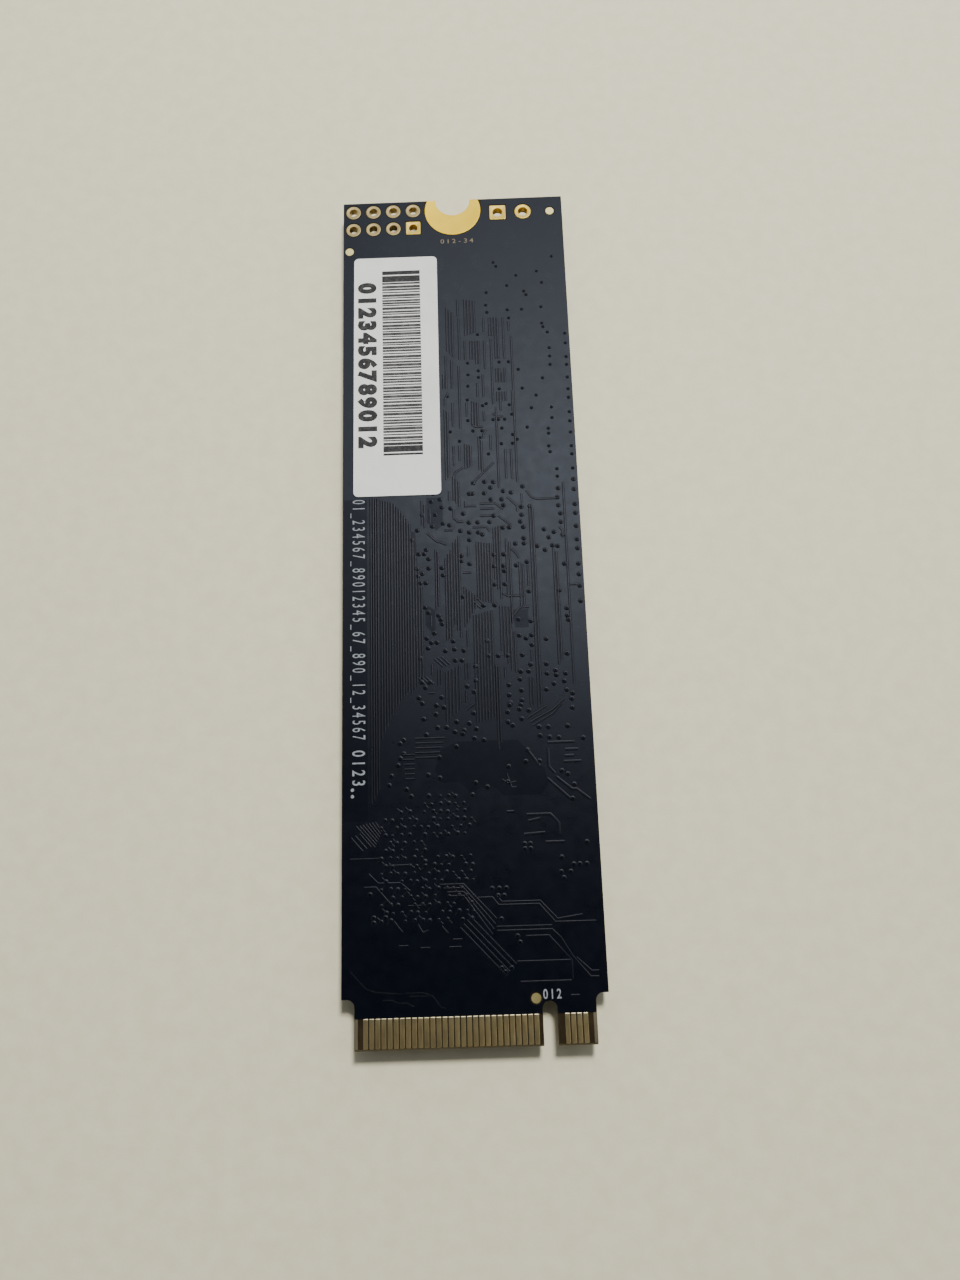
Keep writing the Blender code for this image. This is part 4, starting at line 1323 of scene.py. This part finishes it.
def make_chip_relief(looks):
    """Tracks and vias on the chip side, and the white outlines round the packages."""
    relief, white = Relief(CHIP), Shape()
    for package in memory_nodes():
        centre, _, length, _, _ = node_centre(package)
        for way in (-1, 1):
            for index in range(SIDE_LANE_COUNT):
                x = way * (SIDE_LANE_X + index * SIDE_LANE_STEP)
                y = centre[1] + (index - 2) * 0.6
                relief.add_track([(x, y + 5.0), (x, y - 4.4), (x - way * 0.4, y - 4.8)])
            for index in range(SIDE_VIA_COUNT):
                relief.add_via(way * SIDE_VIA_X, centre[1] - 5.6 + index * SIDE_VIA_STEP)
        for index in range(END_VIA_COUNT):
            relief.add_via(END_VIA_X + index * END_VIA_STEP, centre[1] + length / 2 + 0.5)
    for package in [*memory_nodes(), "controller"]:
        centre, width, length, _, _ = node_centre(package)
        outline_marks(white, centre, width, length)
    for index in range(EDGE_LINE_COUNT):
        x = EDGE_LINE_X + index * EDGE_LINE_STEP
        relief.add_track([(x, -31.9), (x, -33.0), (x + 0.3, -33.4), (x + 0.3, -37.8)])
    for node in passive_nodes("bulk_capacitor"):
        spot, _, length, _, _ = node_centre(node)
        for way in (-1, 1):
            relief.add_via(spot[0], spot[1] + way * (length / 2 + 0.55))
    relief.write("chip_side", looks)
    write_piece("chip_side_print", white, looks["white_ink"])


def outline_marks(shape, centre, width, length):
    """White corner angles round a package."""
    low, high = CHIP.level + 0.002, CHIP.level - PRINT_THICKNESS
    reach, line = 1.2, 0.12
    for way_x in (-1, 1):
        for way_y in (-1, 1):
            x = centre[0] + way_x * (width / 2 + 0.22)
            y = centre[1] + way_y * (length / 2 + 0.22)
            level_line = sorted((y, y - way_y * line))
            add_bar(shape, sorted((x, x - way_x * reach)), level_line, low, high)
            upright = sorted((y - way_y * (line + 0.01), y - way_y * reach))
            add_bar(shape, sorted((x, x - way_x * line)), upright, low, high)


# ------------------------------------------------------- floor and light


def make_floor():
    """A plain pale tabletop."""
    mesh = bpy.data.meshes.new("floor")
    half = FLOOR_HALF * MM
    corners = [(-half, -half, 0), (half, -half, 0), (half, half, 0), (-half, half, 0)]
    mesh.from_pydata(corners, [], [(0, 1, 2, 3)])
    mesh.materials.append(floor_look())
    floor = bpy.data.objects.new("floor", mesh)
    bpy.context.scene.collection.objects.link(floor)


def add_light(name, place, size, power, colour):
    """An area light of a given size and power, which faces straight down until it is turned."""
    light = bpy.data.lights.new(name, type="AREA")
    light.shape = "RECTANGLE"
    light.size, light.size_y = size[0] * MM, size[1] * MM
    light.energy = power
    light.color = colour
    item = bpy.data.objects.new(name, light)
    item.location = Vector(place) * MM
    bpy.context.scene.collection.objects.link(item)
    return item


def make_lights():
    """The key light, which reflections don't show, and the panels, which nothing else shows."""
    key = add_light("key", KEY_PLACE, (KEY_SIZE, KEY_SIZE), KEY_POWER, (1.0, 0.98, 0.95))
    key.rotation_euler = Vector(KEY_PLACE).to_track_quat("Z", "Y").to_euler()
    key.visible_glossy = False
    for index, (place, size, power) in enumerate(PANELS):
        panel = add_light(f"panel_{index + 1}", place, size, power, (0.97, 0.99, 1.0))
        panel.visible_diffuse = False


def make_room():
    """Soft light from all round, dark overhead and dim towards one side."""
    world = bpy.data.worlds.new("room")
    world.use_nodes = True
    tree = world.node_tree
    background = tree.nodes["Background"]
    background.inputs["Color"].default_value = (*ROOM_COLOUR, 1.0)
    source = tree.nodes.new("ShaderNodeTexCoord")
    shade = tree.nodes.new("ShaderNodeMath")
    shade.operation = "MULTIPLY"
    for index, (way, steps) in enumerate(ROOM_SHADES):
        toward = tree.nodes.new("ShaderNodeVectorMath")
        toward.operation = "DOT_PRODUCT"
        toward.inputs[1].default_value = Vector(way).normalized()
        tree.links.new(source.outputs["Generated"], toward.inputs[0])
        stops = [(place, (share,) * 3) for place, share in steps]
        tree.links.new(add_ramp(tree, toward.outputs["Value"], stops), shade.inputs[index])
    brightness = tree.nodes.new("ShaderNodeMath")
    brightness.operation = "MULTIPLY"
    brightness.inputs[1].default_value = ROOM_STRENGTH
    tree.links.new(shade.outputs["Value"], brightness.inputs[0])
    tree.links.new(brightness.outputs["Value"], background.inputs["Strength"])
    bpy.context.scene.world = world


def make_camera():
    """The camera at the angle and distance that the card's outline gives."""
    camera = bpy.data.cameras.new("camera")
    camera.lens = CAMERA_LENS
    camera.clip_start = 1 * MM
    item = bpy.data.objects.new("camera", camera)
    place, target = Vector(CAMERA_PLACE) * MM, Vector(CAMERA_TARGET) * MM
    aim = (target - place).to_track_quat("-Z", "Y").to_matrix() @ Matrix.Rotation(CAMERA_ROLL, 3, "Z")
    item.matrix_world = Matrix.Translation(place) @ aim.to_4x4()
    bpy.context.scene.collection.objects.link(item)
    bpy.context.scene.camera = item


def main():
    """Builds the looks of the drive."""
    make_camera()
    make_room()
    make_lights()
    make_floor()
    looks = make_looks()
    dress_card(looks)
    make_contacts(looks)
    make_tongue_faces(looks)
    make_tongue_margins(looks)
    make_screw_pad(looks)
    for number in range(1, HEADER_HOLES + JUMPER_HOLES + 1):
        make_plated_hole(number, looks)
    make_label_print(looks)
    make_board_print(looks)
    make_bare_relief(looks)
    make_packages(looks)
    for node in memory_nodes():
        make_ball_grid(node, MEMORY_BALLS, looks)
    make_ball_grid("controller", CONTROLLER_BALLS, looks)
    make_laser_marks(looks)
    make_passives(looks)
    make_power_parts(looks)
    make_chip_relief(looks)


main()
